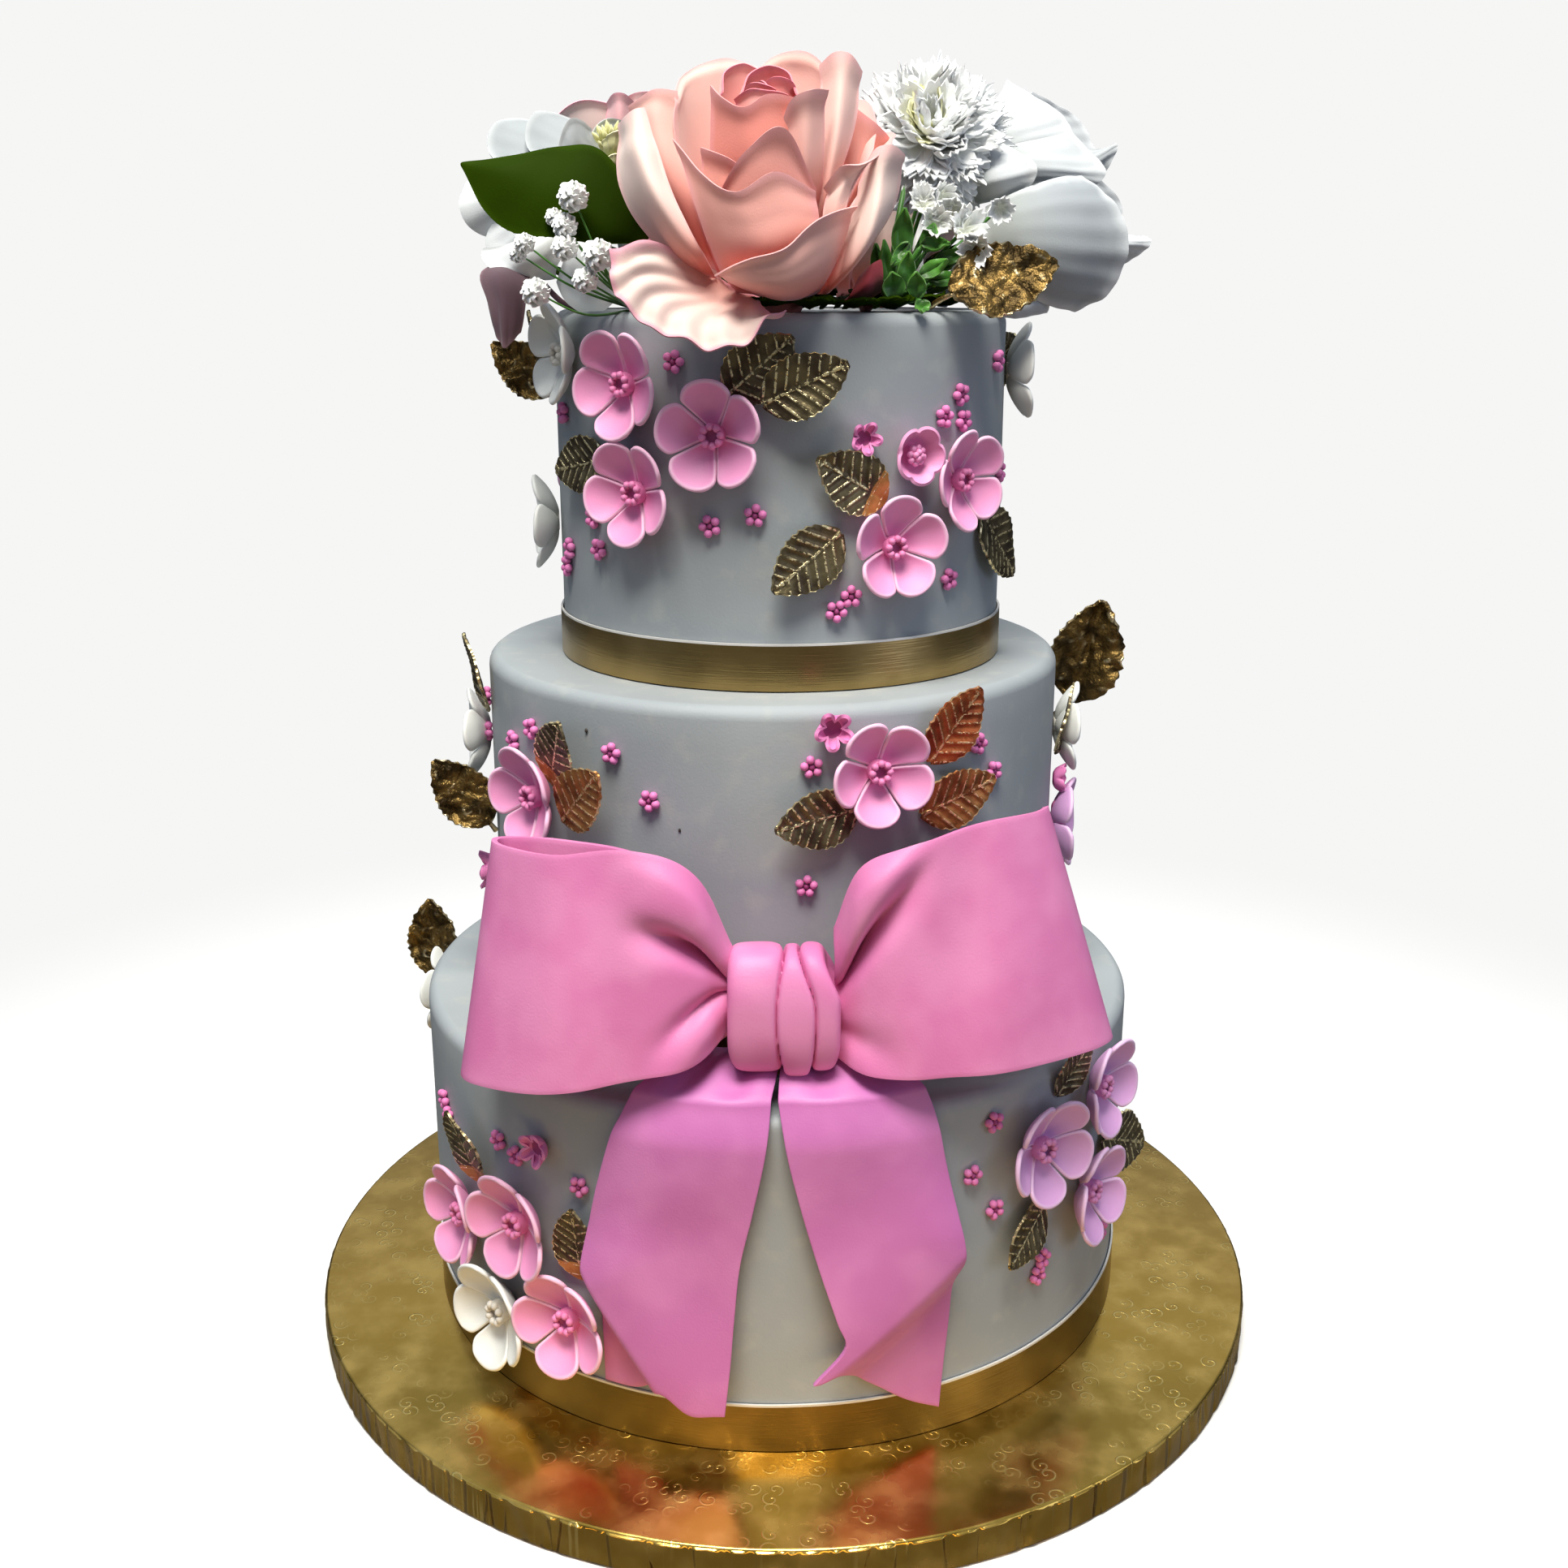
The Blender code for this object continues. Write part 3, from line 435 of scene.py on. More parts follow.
print(len(crease_angles), "creases in the board's edge")

# %% [markdown]
# ## Fondant tiers
# A sheet of rolled icing is laid over each round sponge cake and smoothed down, so its top edge
# is softly rounded and its side is never quite flat. Each tier is a cylinder with a bevelled rim,
# cut into bands so that its wall can wander by a few tenths of a millimetre.

# %% Fondant
# Rolled fondant is sugar with a matt, faintly powdery skin: it scatters nearly all light, with
# a weak wide gloss.
fondant = new_material("rolled_fondant", "#989fa2", roughness=0.62)
knead = clouds(fondant, 55, 0.3, 0.7, 3.0)
powder = clouds(fondant, 9, 0.52, 0.75, 4.0, 0.5)
icing = add(fondant, "Mix", {0: knead, 6: "#949b9f", 7: "#9ca3a6"}, 2, **COLOURS)
feed(fondant, "Base Color", add(fondant, "Mix", {0: powder, 6: icing, 7: "#a9ada9"}, 2, **COLOURS))
press_grain(fondant, 0.8, 0.05)            # sugar powder
feed(fondant, "Roughness", add(fondant, "MapRange", (knead, 0.0, 1.0, 0.56, 0.68)))

# %% Tiers
TIER_RADIUS = {"bottom": 0.1300, "middle": 0.1012, "top": 0.0765}
TIER_HEIGHT = {"bottom": 0.1195, "middle": 0.1223, "top": 0.1156}
TIER_SHIFT = {"bottom": (-0.0027, -0.0026), "middle": (-0.0041, 0.0), "top": (-0.0013, -0.0033)}
TIER_ROUNDING = 0.0045
GAP = 0.0003                       # air between pieces that touch
RIBBON_CLEAR = 0.0190              # the wall stays true behind the ribbon
TIER_FOOT = {"bottom": BOARD_THICKNESS}
TIER_FOOT["middle"] = TIER_FOOT["bottom"] + TIER_HEIGHT["bottom"]
TIER_FOOT["top"] = TIER_FOOT["middle"] + TIER_HEIGHT["middle"]
CAKE_TOP = TIER_FOOT["top"] + TIER_HEIGHT["top"]

for number, tier in enumerate(TIER_RADIUS):
    radius, height = TIER_RADIUS[tier], TIER_HEIGHT[tier] - GAP
    foot = TIER_FOOT[tier] + GAP
    block = round_block(f"tier_{tier}_fondant", radius, height, 240, foot)
    edit(block, "edges", lambda p: level(p, foot + height))
    bpy.ops.mesh.bevel(offset=TIER_ROUNDING, segments=6, profile=0.5)
    leave()
    edit(block, "polygons", lambda p: level(p, foot + height))
    bpy.ops.mesh.inset(thickness=radius * 0.3)
    bpy.ops.mesh.inset(thickness=radius * 0.3)
    leave()
    cut_levels(block, [foot + height * i / 9 for i in range(1, 9)])
    for vertex in block.data.vertices:
        x, y, z = vertex.co
        reach = math.hypot(x, y)
        if reach > radius - 0.0002 and z > foot + RIBBON_CLEAR:
            wander = noise.noise((x * 26, y * 26, z * 18 + 7 * number))
            vertex.co.xy *= 1 + 0.00028 * wander / reach
        elif z > foot + height - 0.0001:
            vertex.co.z += 0.0002 * noise.noise((x * 30, y * 30, number)) - 0.0002
    block.data.transform(Matrix.Translation((*TIER_SHIFT[tier], 0)))
    dress(block, f"tier_{tier}_fondant", 40, fondant, "fondant_grey", f"tier_{tier}")

# %% [markdown]
# ## Ribbons
# A flat satin ribbon goes once round each tier's foot and overlaps itself at the back. Its top
# edge is painted near white and less metallic: a painted highlight for the bright line along it.
# It is an open tube that gets its thickness outwards.

# %% Ribbon
# Satin of metallised yarn: a metal gloss that is much softer round the tier than up and down.
satin = new_material("metallic_satin", "#b08a3c", metallic=1.0, roughness=0.30)
yarn_place = add(satin, "Mapping", {"Vector": add(satin, "TexCoord", output="Object"),
                                    "Scale": (60.0, 60.0, 1 / (0.45 * MM))})
yarn = add(satin, "TexNoise", {"Vector": yarn_place, "Scale": 1.0, "Detail": 1.0})
feed(satin, "Normal", add(satin, "Bump", {"Height": yarn, "Distance": 0.05 * MM}))
body = add(satin, "Mix", {0: clouds(satin, 30, 0.35, 0.65), 6: "#98804f", 7: "#b2965f"}, 2, **COLOURS)
# The top edge of the ribbon is painted near white: a painted highlight.
ribbon_height_share = add(satin, "Attribute", output="Fac", attribute_name="rim")
painted_edge_highlight = add(satin, "MapRange", (ribbon_height_share, 0.945, 0.965), **SOFT)
feed(satin, "Base Color", add(satin, "Mix", {0: painted_edge_highlight, 6: body, 7: "#e6e4de"}, 2, **COLOURS))
feed(satin, "Metallic", add(satin, "MapRange", (painted_edge_highlight, 0.0, 1.0, 1.0, 0.25)))

RIBBON_WIDTH = {"bottom": 0.0178, "middle": 0.0155, "top": 0.0155}
RIBBON_THICKNESS = 0.0007

for tier in TIER_RADIUS:
    width, foot = RIBBON_WIDTH[tier] - GAP, TIER_FOOT[tier] + GAP
    tube = TIER_RADIUS[tier] + GAP

    def once_round(u, v):
        """Once round the tier, with the end lapped over the start at the back."""
        angle = math.pi * 1.02 * u
        lap = RIBBON_THICKNESS * 1.1 * ease(u, 0.93, 0.97)
        slack = 0.00012 * noise.noise((math.sin(angle) * 9, math.cos(angle) * 9, v * 0.8))
        out = tube + lap + slack * (1 - abs(u) ** 8) + RIBBON_THICKNESS / 2 + 0.0001
        return (out * math.sin(angle), -out * math.cos(angle), foot + width * v)

    band = sheet(f"ribbon_{tier}_satin", 288, 6, once_round)
    paint(band, "rim", [(vertex.co.z - foot) / width for vertex in band.data.vertices])
    modify(band, "SOLIDIFY", thickness=RIBBON_THICKNESS, offset=0.0)
    band.data.transform(Matrix.Translation((*TIER_SHIFT[tier], 0)))
    dress(band, f"ribbon_{tier}_satin", 50, satin, "ribbon_gold", f"ribbon_{tier}")

# %% [markdown]
# ## The bow
# The bow is rolled sugar paste, about 2 mm thick, shaped while it is soft: two loops, two tails
# and three bands wrapped round the middle. Each strap is a flat sheet whose edges follow smooth
# curves through a few key points, and its folds are soft ridges and valleys pressed into it.

# %% Bow paste
# Gum paste coloured pink: matt like the icing but denser, with a fine grain and a soft gloss.
# The tails get a darker, bluer copy of the loops' paste: painted shade for the shadow of the loops above
# them.
def gum_paste(name, deep, pale):
    """Rolled paste in two shades that run into each other where the dye was kneaded in."""
    material = new_material(name, deep, roughness=0.52)
    smears = clouds(material, 24, 0.32, 0.70)
    feed(material, "Base Color", add(material, "Mix", {0: smears, 6: deep, 7: pale}, 2, **COLOURS))
    press_grain(material, 0.7, 0.06)       # cornflour
    return material


bow_paste = gum_paste("rolled_gum_paste", "#d275aa", "#dd89b8")
# Darker, bluer copy of the bow paste for the tails: painted shade.
tail_paste_painted_shade = gum_paste("rolled_gum_paste_tails_painted_shade", "#bd6bab", "#c97bb6")

# %% Knot
KNOT_CENTRE = Vector((0.0, -0.1180, 0.1648))
KNOT_HALF_WIDTH, KNOT_DEPTH, KNOT_HEIGHT = 0.0174, 0.0250, 0.0406


def groove_places(t):
    """Where the two grooves run across the knot, in mm; t goes from -1, the bottom, to 1."""
    return -2.3 + 2.4 * t * t, 9.8 - 1.4 * min(t, 0.0) ** 2 - 4.6 * max(t, 0.0) ** 2


def knot_skin(u, v):
    """Three bands side by side, wrapped round the middle of the bow."""
    x = KNOT_HALF_WIDTH * math.sin(u * math.pi / 2)
    around = 2 * math.pi * v
    y, z = -math.cos(around), math.sin(around)
    t = z
    square = 1 / max((abs(y) ** 2.5 + abs(z) ** 2.5) ** 0.4, 0.001)
    first, second = groove_places(t)
    across = x / MM
    if across < first:
        low, high, proud = -17.4, first, 0.0
    elif across < second:
        low, high, proud = first, second, 0.02 - 0.055 * t
    else:
        low, high, proud = second, 17.4, -0.01
    s = min(max((across - low) / (high - low), 0.0), 1.0)
    side = abs(2 * s - 1)
    bulge = 0.985 + proud + 0.030 * (1 - side ** 2) - 0.070 * side ** 6
    bulge -= 0.13 * (hump(across, first, 0.40) + hump(across, second, 0.38))
    end = math.sqrt(max(1 - abs(u) ** 6, 0.0))
    bulge *= 0.55 + 0.45 * end if abs(u) < 0.9999 else 0.0
    bulge += 0.014 * noise.noise((across * 0.09, y * 1.2, z * 1.4))
    x *= 1 - 0.26 * ease(t, 0.30, 1.0) * ease(across, -2.0, 12.0) - 0.05 * ease(-t, 0.6, 1.0)
    y, z = y * square * bulge * KNOT_DEPTH / 2, z * square * bulge * KNOT_HEIGHT / 2
    return KNOT_CENTRE + Vector((x, y, z))


knot = closed(sheet("bow_knot_bands", 96, 96, knot_skin), 0.00002)
dress(knot, "bow_knot_bands", 70, bow_paste, "bow_pink", "bow_knot")

# %% [markdown]
# ## Loops
# Each loop leaves the knot, turns at its outer fold and comes back behind. Beside the knot it is
# gathered, which presses two valleys into it that spread and fade on their way out.
# The key points are the strap's top and bottom edge at eleven places round the loop.

# %% Loops
STRAP = 0.0018
# the top edge's x, y and z, then the bottom edge's
LEFT_LOOP = (
    (-0.0160, -0.1175, 0.1827, -0.0160, -0.1175, 0.1592),
    (-0.0270, -0.1225, 0.2080, -0.0268, -0.1290, 0.1514),
    (-0.0440, -0.1245, 0.2173, -0.0442, -0.1350, 0.1478),
    (-0.0680, -0.1222, 0.2157, -0.0725, -0.1345, 0.1434),
    (-0.0846, -0.1113, 0.2149, -0.0957, -0.1224, 0.1406),
    (-0.0898, -0.1020, 0.2142, -0.1017, -0.1110, 0.1395),
    (-0.0846, -0.0975, 0.2135, -0.0960, -0.1030, 0.1380),
    (-0.0680, -0.1040, 0.2145, -0.0735, -0.1070, 0.1375),
    (-0.0440, -0.1085, 0.2110, -0.0450, -0.1095, 0.1425),
    (-0.0270, -0.1105, 0.1980, -0.0270, -0.1110, 0.1460),
    (-0.0160, -0.1125, 0.1780, -0.0160, -0.1125, 0.1540))
RIGHT_LOOP = (
    (0.0160, -0.1175, 0.1902, 0.0160, -0.1175, 0.1487),
    (0.0230, -0.1225, 0.2102, 0.0268, -0.1290, 0.1469),
    (0.0360, -0.1242, 0.2180, 0.0434, -0.1345, 0.1480),
    (0.0600, -0.1198, 0.2248, 0.0687, -0.1315, 0.1494),
    (0.0766, -0.1083, 0.2250, 0.0956, -0.1184, 0.1498),
    (0.0812, -0.0985, 0.2237, 0.1041, -0.1065, 0.1491),
    (0.0766, -0.0940, 0.2190, 0.0962, -0.0990, 0.1475),
    (0.0600, -0.1015, 0.2135, 0.0695, -0.1045, 0.1450),
    (0.0360, -0.1080, 0.2060, 0.0438, -0.1095, 0.1430),
    (0.0230, -0.1105, 0.1980, 0.0270, -0.1110, 0.1435),
    (0.0160, -0.1125, 0.1860, 0.0160, -0.1125, 0.1460))

# A valley: its height on the strap beside the knot and at its end, how far out it ends,
# its depth and its width as a share of the strap's height
LEFT_VALLEYS = ((0.56, 0.66, 0.050, 0.0085, 0.046), (0.42, 0.10, 0.042, 0.0045, 0.040))
RIGHT_VALLEYS = ((0.50, 0.92, 0.045, 0.0086, 0.066), (0.20, 0.08, 0.040, 0.0022, 0.060))


def valley_push(valleys, reach, v):
    """How far the valleys push the strap back, and the rolls between them push it forward."""
    push = 0.0
    for number, (start, stop, end, depth, width) in enumerate(valleys):
        out = min(max((reach - KNOT_HALF_WIDTH) / (end - KNOT_HALF_WIDTH), 0.0), 1.3)
        middle = start + (stop - start) * out ** 0.85
        fade = (1 - ease(out, 0.20, 1.10)) * (0.60 + 0.40 * ease(out, 0.0, 0.20))
        push += depth * fade * hump(v, middle, width * (1 + 0.9 * out))
        if number == 0:
            roll = (v - middle) / max(1 - middle, 0.05)
            push -= 0.55 * depth * fade * max(math.sin(math.pi * min(max(roll * 0.85, 0.0), 1.0)), 0.0)
            push += 0.45 * depth * fade * ease(roll, 0.75, 1.0)
        else:
            push -= 0.60 * depth * fade * hump(v, middle - 0.17, 0.11)
    return push


def loop_strap(stations, valleys):
    """A loop's place(u, v): u goes once round the loop and v from its lower to its upper edge."""
    tops = [station[:3] for station in stations]
    feet = [station[3:] for station in stations]

    def place(u, v):
        t = (u + 1) / 2
        top, foot = curve_through(tops, t), curve_through(feet, t)
        point = foot.lerp(top, v)
        push = valley_push(valleys, abs(point.x), v)
        share = 1 - 0.35 * ease(t, 0.45, 0.70)
        point.y += push * share
        point.y += 0.0016 * hump(abs(point.x), 0.050 + 0.006 * v, 0.009) * (1 - ease(t, 0.30, 0.45))
        gathered = ease(abs(point.x), 0.02, 0.05)
        point.y += 0.0014 * noise.noise((point.x * 24, point.y * 24, point.z * 24)) * gathered
        crown = 1 - (2 * v - 1) ** 2
        point.y -= 0.0006 * crown * (1 - ease(t, 0.30, 0.48)) * ease(abs(point.x), 0.02, 0.06)
        return point
    return place


def rolled_strap(name, faces, place, paste, node):
    """A strap of paste, thickened and with its edges softened."""
    strap = sheet(name, *faces, place)
    modify(strap, "SOLIDIFY", thickness=STRAP, offset=0.0)
    modify(strap, "BEVEL", width=0.0005, segments=2, limit_method="ANGLE", angle_limit=math.radians(50))
    dress(strap, name, 60, paste, "bow_pink", node)


for side, stations, valleys in (("left", LEFT_LOOP, LEFT_VALLEYS), ("right", RIGHT_LOOP, RIGHT_VALLEYS)):
    rolled_strap(f"bow_loop_{side}_strap", (110, 48), loop_strap(stations, valleys), bow_paste,
                 f"bow_loop_{side}")

# %% [markdown]
# ## Tails
# The tails come out under the knot, bend over the bottom tier's edge and hang down its front.
# Each is twisted a little, so a ridge runs slantwise across it, and below the ridge the strap
# turns back to the cake. A tail is drawn over the tier's wall: each point has an angle round the
# tier, a height and a distance from the wall.

# %% Tails
TAIL_WALL = 0.1300
# angle, height above the table and distance from the wall, in degrees and mm, down each edge
LEFT_TAIL_EDGES = (
    ((-20.0, 139.0, 1.8), (-21.2, 132.0, 3.4), (-22.6, 124.0, 4.2), (-24.8, 104.6, 5.0),
     (-26.5, 84.2, 5.0), (-26.5, 74.5, 4.5), (-25.3, 62.0, 3.0), (-25.1, 33.5, 1.3)),
    ((-0.6, 138.6, 1.6), (-0.9, 130.0, 3.2), (-1.6, 119.2, 4.0), (-3.1, 102.0, 4.5),
     (-4.7, 84.9, 5.0), (-5.5, 66.0, 5.8), (-6.0, 50.0, 6.2), (-6.7, 32.8, 6.5)))
RIGHT_TAIL_EDGES = (
    ((0.4, 139.2, 1.6), (0.9, 132.0, 3.2), (1.9, 119.5, 4.0), (3.8, 101.0, 4.4),
     (6.0, 82.5, 4.8), (8.0, 67.0, 5.2), (9.0, 57.0, 6.2), (4.9, 44.2, 7.5)),
    ((21.2, 139.4, 1.8), (22.0, 132.5, 3.4), (23.2, 117.0, 4.2), (24.8, 97.0, 5.0),
     (25.7, 82.0, 4.8), (25.3, 62.0, 3.0), (24.6, 42.0, 2.0), (24.0, 23.8, 1.6)))
# ridge: angle and height at its upper and its lower end, how proud it is above the wall,
# how quickly the strap falls back below it, all in mm
LEFT_RIDGE = ((-26.0, 76.0), (-14.2, 34.0), 9.6, 5.0)
RIGHT_RIDGE = ((26.2, 86.0), (6.0, 46.0), 9.4, 13.0)
# where each tail starts, behind the knot: its two corners
TAIL_ROOTS = {"left": ((-0.0265, -0.1075, 0.1455), (-0.0005, -0.1090, 0.1455)),
              "right": ((0.0000, -0.1090, 0.1455), (0.0275, -0.1075, 0.1455))}


def ridge_stand(angle, height, ridge):
    """How far a strap stands off the wall near its slanting ridge, and how strongly."""
    (a0, z0), (a1, z1), proud, fall = ridge
    run = (a1 - a0) * math.radians(1) * TAIL_WALL / MM
    drop = z1 - z0
    long = math.hypot(run, drop)
    across = (angle - a0) * math.radians(1) * TAIL_WALL / MM
    above = (across * -drop + (height - z0) * run) / long
    above = above if run > 0 else -above
    along = (across * run + (height - z0) * drop) / long ** 2
    if above > 0:
        return 3.8 + (proud - 3.8) * math.exp(-(above / 30) ** 2), ease(along, -0.35, 0.10)
    return proud - (proud - 1.6) * ease(-above, 0.0, fall), ease(along, -0.35, 0.10)


def tail_strap(edges, ridge, roots, hem):
    """A tail's place(u, v): from its root behind the knot, then down the tier's wall."""
    left, right = edges
    start_share = 0.13                     # the part of the strap that lies behind the knot

    def place(u, v):
        s = (u + 1) / 2
        if v < start_share:
            t = v / start_share
            start = Vector(roots[0]).lerp(Vector(roots[1]), s)
            edge = place(u, start_share)
            point = start.lerp(edge, t)
            point.z = start.z + (edge.z - start.z) * t ** 1.6
            point.z += math.sin(s * math.pi * 5) * 0.0013 * math.sin(math.pi * t)
            return point
        t = (v - start_share) / (1 - start_share)
        a, b = curve_through(left, t), curve_through(right, t)
        angle = a.x + (b.x - a.x) * s
        height = a.y + (b.y - a.y) * s + hem(s) * ease(t, 0.75, 1.0)
        plain = a.z + (b.z - a.z) * s + 1.6 * math.sin(math.pi * s) * (1 - 0.4 * t)
        stand, strength = ridge_stand(angle, height, ridge)
        out = plain + (stand - plain) * strength * ease(t, 0.15, 0.50)
        out += 0.5 * noise.noise((angle * 0.11, height * 0.035, 5.0))
        out = TAIL_WALL + max(out, 1.3) * MM - 0.0028 * ease(height, 124, 139)
        turn = math.radians(angle)
        return Vector((TIER_SHIFT["bottom"][0] + out * math.sin(turn),
                       TIER_SHIFT["bottom"][1] - out * math.cos(turn), height * MM))
    return place


def left_hem(s):
    """The left tail's lower edge: a flat corner, then the hanging front part."""
    return 6.0 * hump(s, 0.52, 0.16) - 1.2 * hump(s, 0.75, 0.12)


def right_hem(s):
    """The right tail's lower edge, from the tip that flips forward to its long point."""
    return 7.0 * hump(s, 0.20, 0.14) + 3.0 * hump(s, 0.45, 0.2)


for side, edges, ridge, hem in (("left", LEFT_TAIL_EDGES, LEFT_RIDGE, left_hem),
                                ("right", RIGHT_TAIL_EDGES, RIGHT_RIDGE, right_hem)):
    rolled_strap(f"bow_tail_{side}_strap", (64, 96), tail_strap(edges, ridge, TAIL_ROOTS[side], hem),
                 tail_paste_painted_shade, f"bow_tail_{side}")

# %% [markdown]
# ## Sugar blossoms
# Each petal is cut from thin paste and pressed with a ball tool, which makes it a shallow spoon
# with a thick soft rim. Five of them stand in a cup round a small barrel with beads on it. The
# petal is a grid rounded to a disc, thickened and smoothed. Three blossoms are made, each a bit
# different, and copied to their places.

# %% Petal paste
# Matt white or pink gum paste. The rim is paler: partly a frosting of powder, partly a painted
# highlight where the thick rim catches the light. Towards the heart the colour is deeper: partly
# petal dust, partly painted shade near the centre. The hollow colour is painted shade in pits.
def petal_paste(name, heart, body, rim, bead, hollow):
    """The paste's colour from the heart out, one coat over another by what the sheet keeps."""
    material = new_material(name, body, roughness=0.56)
    colour = heart
    # rim: paler, partly a painted highlight; along: deeper at the heart, partly painted shade; hollow:
    # painted shade
    for value, low, high, share, coat in (("along", 0.10, 0.62, 1.0, body), ("rim", 0.86, 0.99, 0.75, rim),
                                          ("tone", 0.2, 0.5, 1.0, bead), ("tone", 0.7, 0.9, 1.0, hollow)):
        where = add(material, "Attribute", output="Fac", attribute_name=value)
        where = add(material, "MapRange", (where, low, high, 0.0, share), **SOFT)
        colour = add(material, "Mix", {0: where, 6: colour, 7: coat}, 2, **COLOURS)
    feed(material, "Base Color", colour)
    press_grain(material, 0.6, 0.04)       # starch
    return material


PINK = petal_paste("gum_paste_pink", "#dd7bb0", "#ed9bc9", "#f6c8e0", "#e384b6", "#b04f86")
LILAC = petal_paste("gum_paste_lilac", "#c488c4", "#d6a3d6", "#e8c6e6", "#d287ba", "#9a5a94")
WHITE = petal_paste("gum_paste_white", "#d9dad2", "#e5e8e4", "#f0f2ee", "#dcd7cc", "#a8a196")
DEEP = petal_paste("gum_paste_deep_pink", "#c75c9e", "#e07fb9", "#f0a6d1", "#e07fb9", "#9c3f78")
PASTES = {"pink": (PINK, "petal_pink"), "lilac": (LILAC, "petal_lilac"), "white": (WHITE, "petal_white")}

# %% Petals and blossoms
def disc(u, v):
    """Round the square grid off to a disc: both results go from -1 to 1."""
    w = 2 * v - 1
    return u * math.sqrt(1 - w * w / 2), w * math.sqrt(1 - u * u / 2)


def disc_sheet(name, faces, place):
    """A round sheet; place gets across and along, both from -1 to 1."""
    piece = sheet(name, faces, faces, lambda u, v: place(*disc(u, v)))
    mesh = piece.data
    flat = [disc(-1 + 2 * (i % (faces + 1)) / faces, (i // (faces + 1)) / faces)
            for i in range(len(mesh.vertices))]
    paint(piece, "rim", [math.hypot(x, y) for x, y in flat])
    paint(piece, "along", [(y + 1) / 2 for x, y in flat])
    return piece


def spoon(lift, twist, seed):
    """A petal along +Y: 15 mm long, a shallow spoon that rises from the blossom's foot."""
    def place(across, along):
        y = 9.6 + 7.5 * along
        half = 8.0 * (1 + 0.10 * along) * math.sqrt(max(1 - along * along, 0.0)) + 0.02
        half = min(half, 0.7265 * y - 0.22)
        wide = math.sqrt(max(1 - along * along, 0.0001))
        x = across / wide * half
        z = 0.9 + lift * (math.hypot(x, y) / 16.8) ** 1.5
        z -= 1.5 * max(1 - across ** 2 - along ** 2, 0.0)
        z += twist * x * 0.07 * (1 + along) + 0.3 * noise.noise((x * 0.16, y * 0.16, seed))
        return (x * MM, y * MM, z * MM)
    return place


def beads(name, count, ring, size, height, tone):
    """A ring of small round beads."""
    balls = []
    for i in range(count):
        turn = 2 * math.pi * i / count
        ball = primitive("uv_sphere", segments=8, ring_count=6, radius=size,
                         location=(ring * math.cos(turn), ring * math.sin(turn), height))
        settle(ball, f"{name}_{i}", 80)
        for value, key in ((0.5, "rim"), (0.5, "along"), (tone, "tone")):
            paint(ball, key, [value] * len(ball.data.vertices))
        balls.append(ball)
    return balls


def barrel(name):
    """The blossom's heart: a short barrel, hollow on top, with a ring of beads."""
    body = settle(primitive("cylinder", vertices=18, radius=0.0037, depth=0.0050, location=(0, 0, 0.0028)),
                  name, 60)
    top = 0.0053
    edit(body, "polygons", lambda p: level(p, top))
    bpy.ops.mesh.inset(thickness=0.0022)
    bpy.ops.transform.translate(value=(0, 0, -0.0014))
    leave()
    modify(body, "BEVEL", width=0.0005, segments=2, limit_method="ANGLE", angle_limit=math.radians(40))
    mesh = body.data
    paint(body, "rim", [0.4] * len(mesh.vertices))
    paint(body, "along", [0.3] * len(mesh.vertices))
    # Tone 1 inside the hollow gives the paste's dark hollow colour: painted shade in the pit.
    paint(body, "tone", [1.0 if vertex.co.xy.length < 0.0017 and vertex.co.z > 0.002 else 0.45
                         for vertex in mesh.vertices])
    return [body] + beads(name + "_bead", 8, 0.0029, 0.00125, top, 0.45)


def blossom(name, seed):
    """Five petals round a beaded heart, lying on the plane Z = 0."""
    parts = []
    for i in range(5):
        wobble = noise.noise((seed * 3.1, i * 1.7, 0.5))
        petal = disc_sheet(f"{name}_petal_{i}", 10, spoon(8.2 + 1.5 * wobble, 1.2 * wobble, seed + i))
        modify(petal, "SOLIDIFY", thickness=0.0015, offset=0.0, use_even_offset=True)
        modify(petal, "SUBSURF", levels=1, render_levels=1)
        bpy.ops.object.shade_smooth()
        petal.data.transform(Matrix.Rotation(math.radians(72 * i + 3 * wobble), 4, "Z"))
        parts.append(petal)
    return join(parts + barrel(name + "_heart"), name)


def put_away(model):
    """A model that has been copied is taken out of the scene."""
    bpy.data.objects.remove(model, do_unlink=True)


blossom_models = [blossom(f"blossom_model_{seed}", seed) for seed in (1, 2, 3)]
print("one blossom has", len(blossom_models[0].data.polygons), "faces")

# %% [markdown]
# ## Placing things on a tier
# Everything on a wall is placed by its angle round the tier from the front, its height above
# the board, and a spin, clockwise as seen from outside.

# %% On the wall
def turned(spin, lean):
    """Spun clockwise as seen from outside, and leaned, both in degrees."""
    return Matrix.Rotation(math.radians(-spin), 4, "Z") @ Matrix.Rotation(math.radians(lean), 4, "X")


def on_tier(tier, angle, height, spin, lift=0.0, lean=0.0, size=1.0):
    """The place of a piece on a tier's side: local +Z points outwards and +Y up."""
    a = math.radians(angle)
    out = Vector((math.sin(a), -math.cos(a), 0))
    right = Vector((math.cos(a), math.sin(a), 0))
    centre = out * (TIER_RADIUS[tier] + GAP + lift) + Vector((*TIER_SHIFT[tier], 0))
    centre.z = BOARD_THICKNESS + height
    basis = Matrix((right, Vector((0, 0, 1)), out)).transposed().to_4x4()
    return Matrix.Translation(centre) @ basis @ turned(spin, lean) @ Matrix.Scale(size, 4)


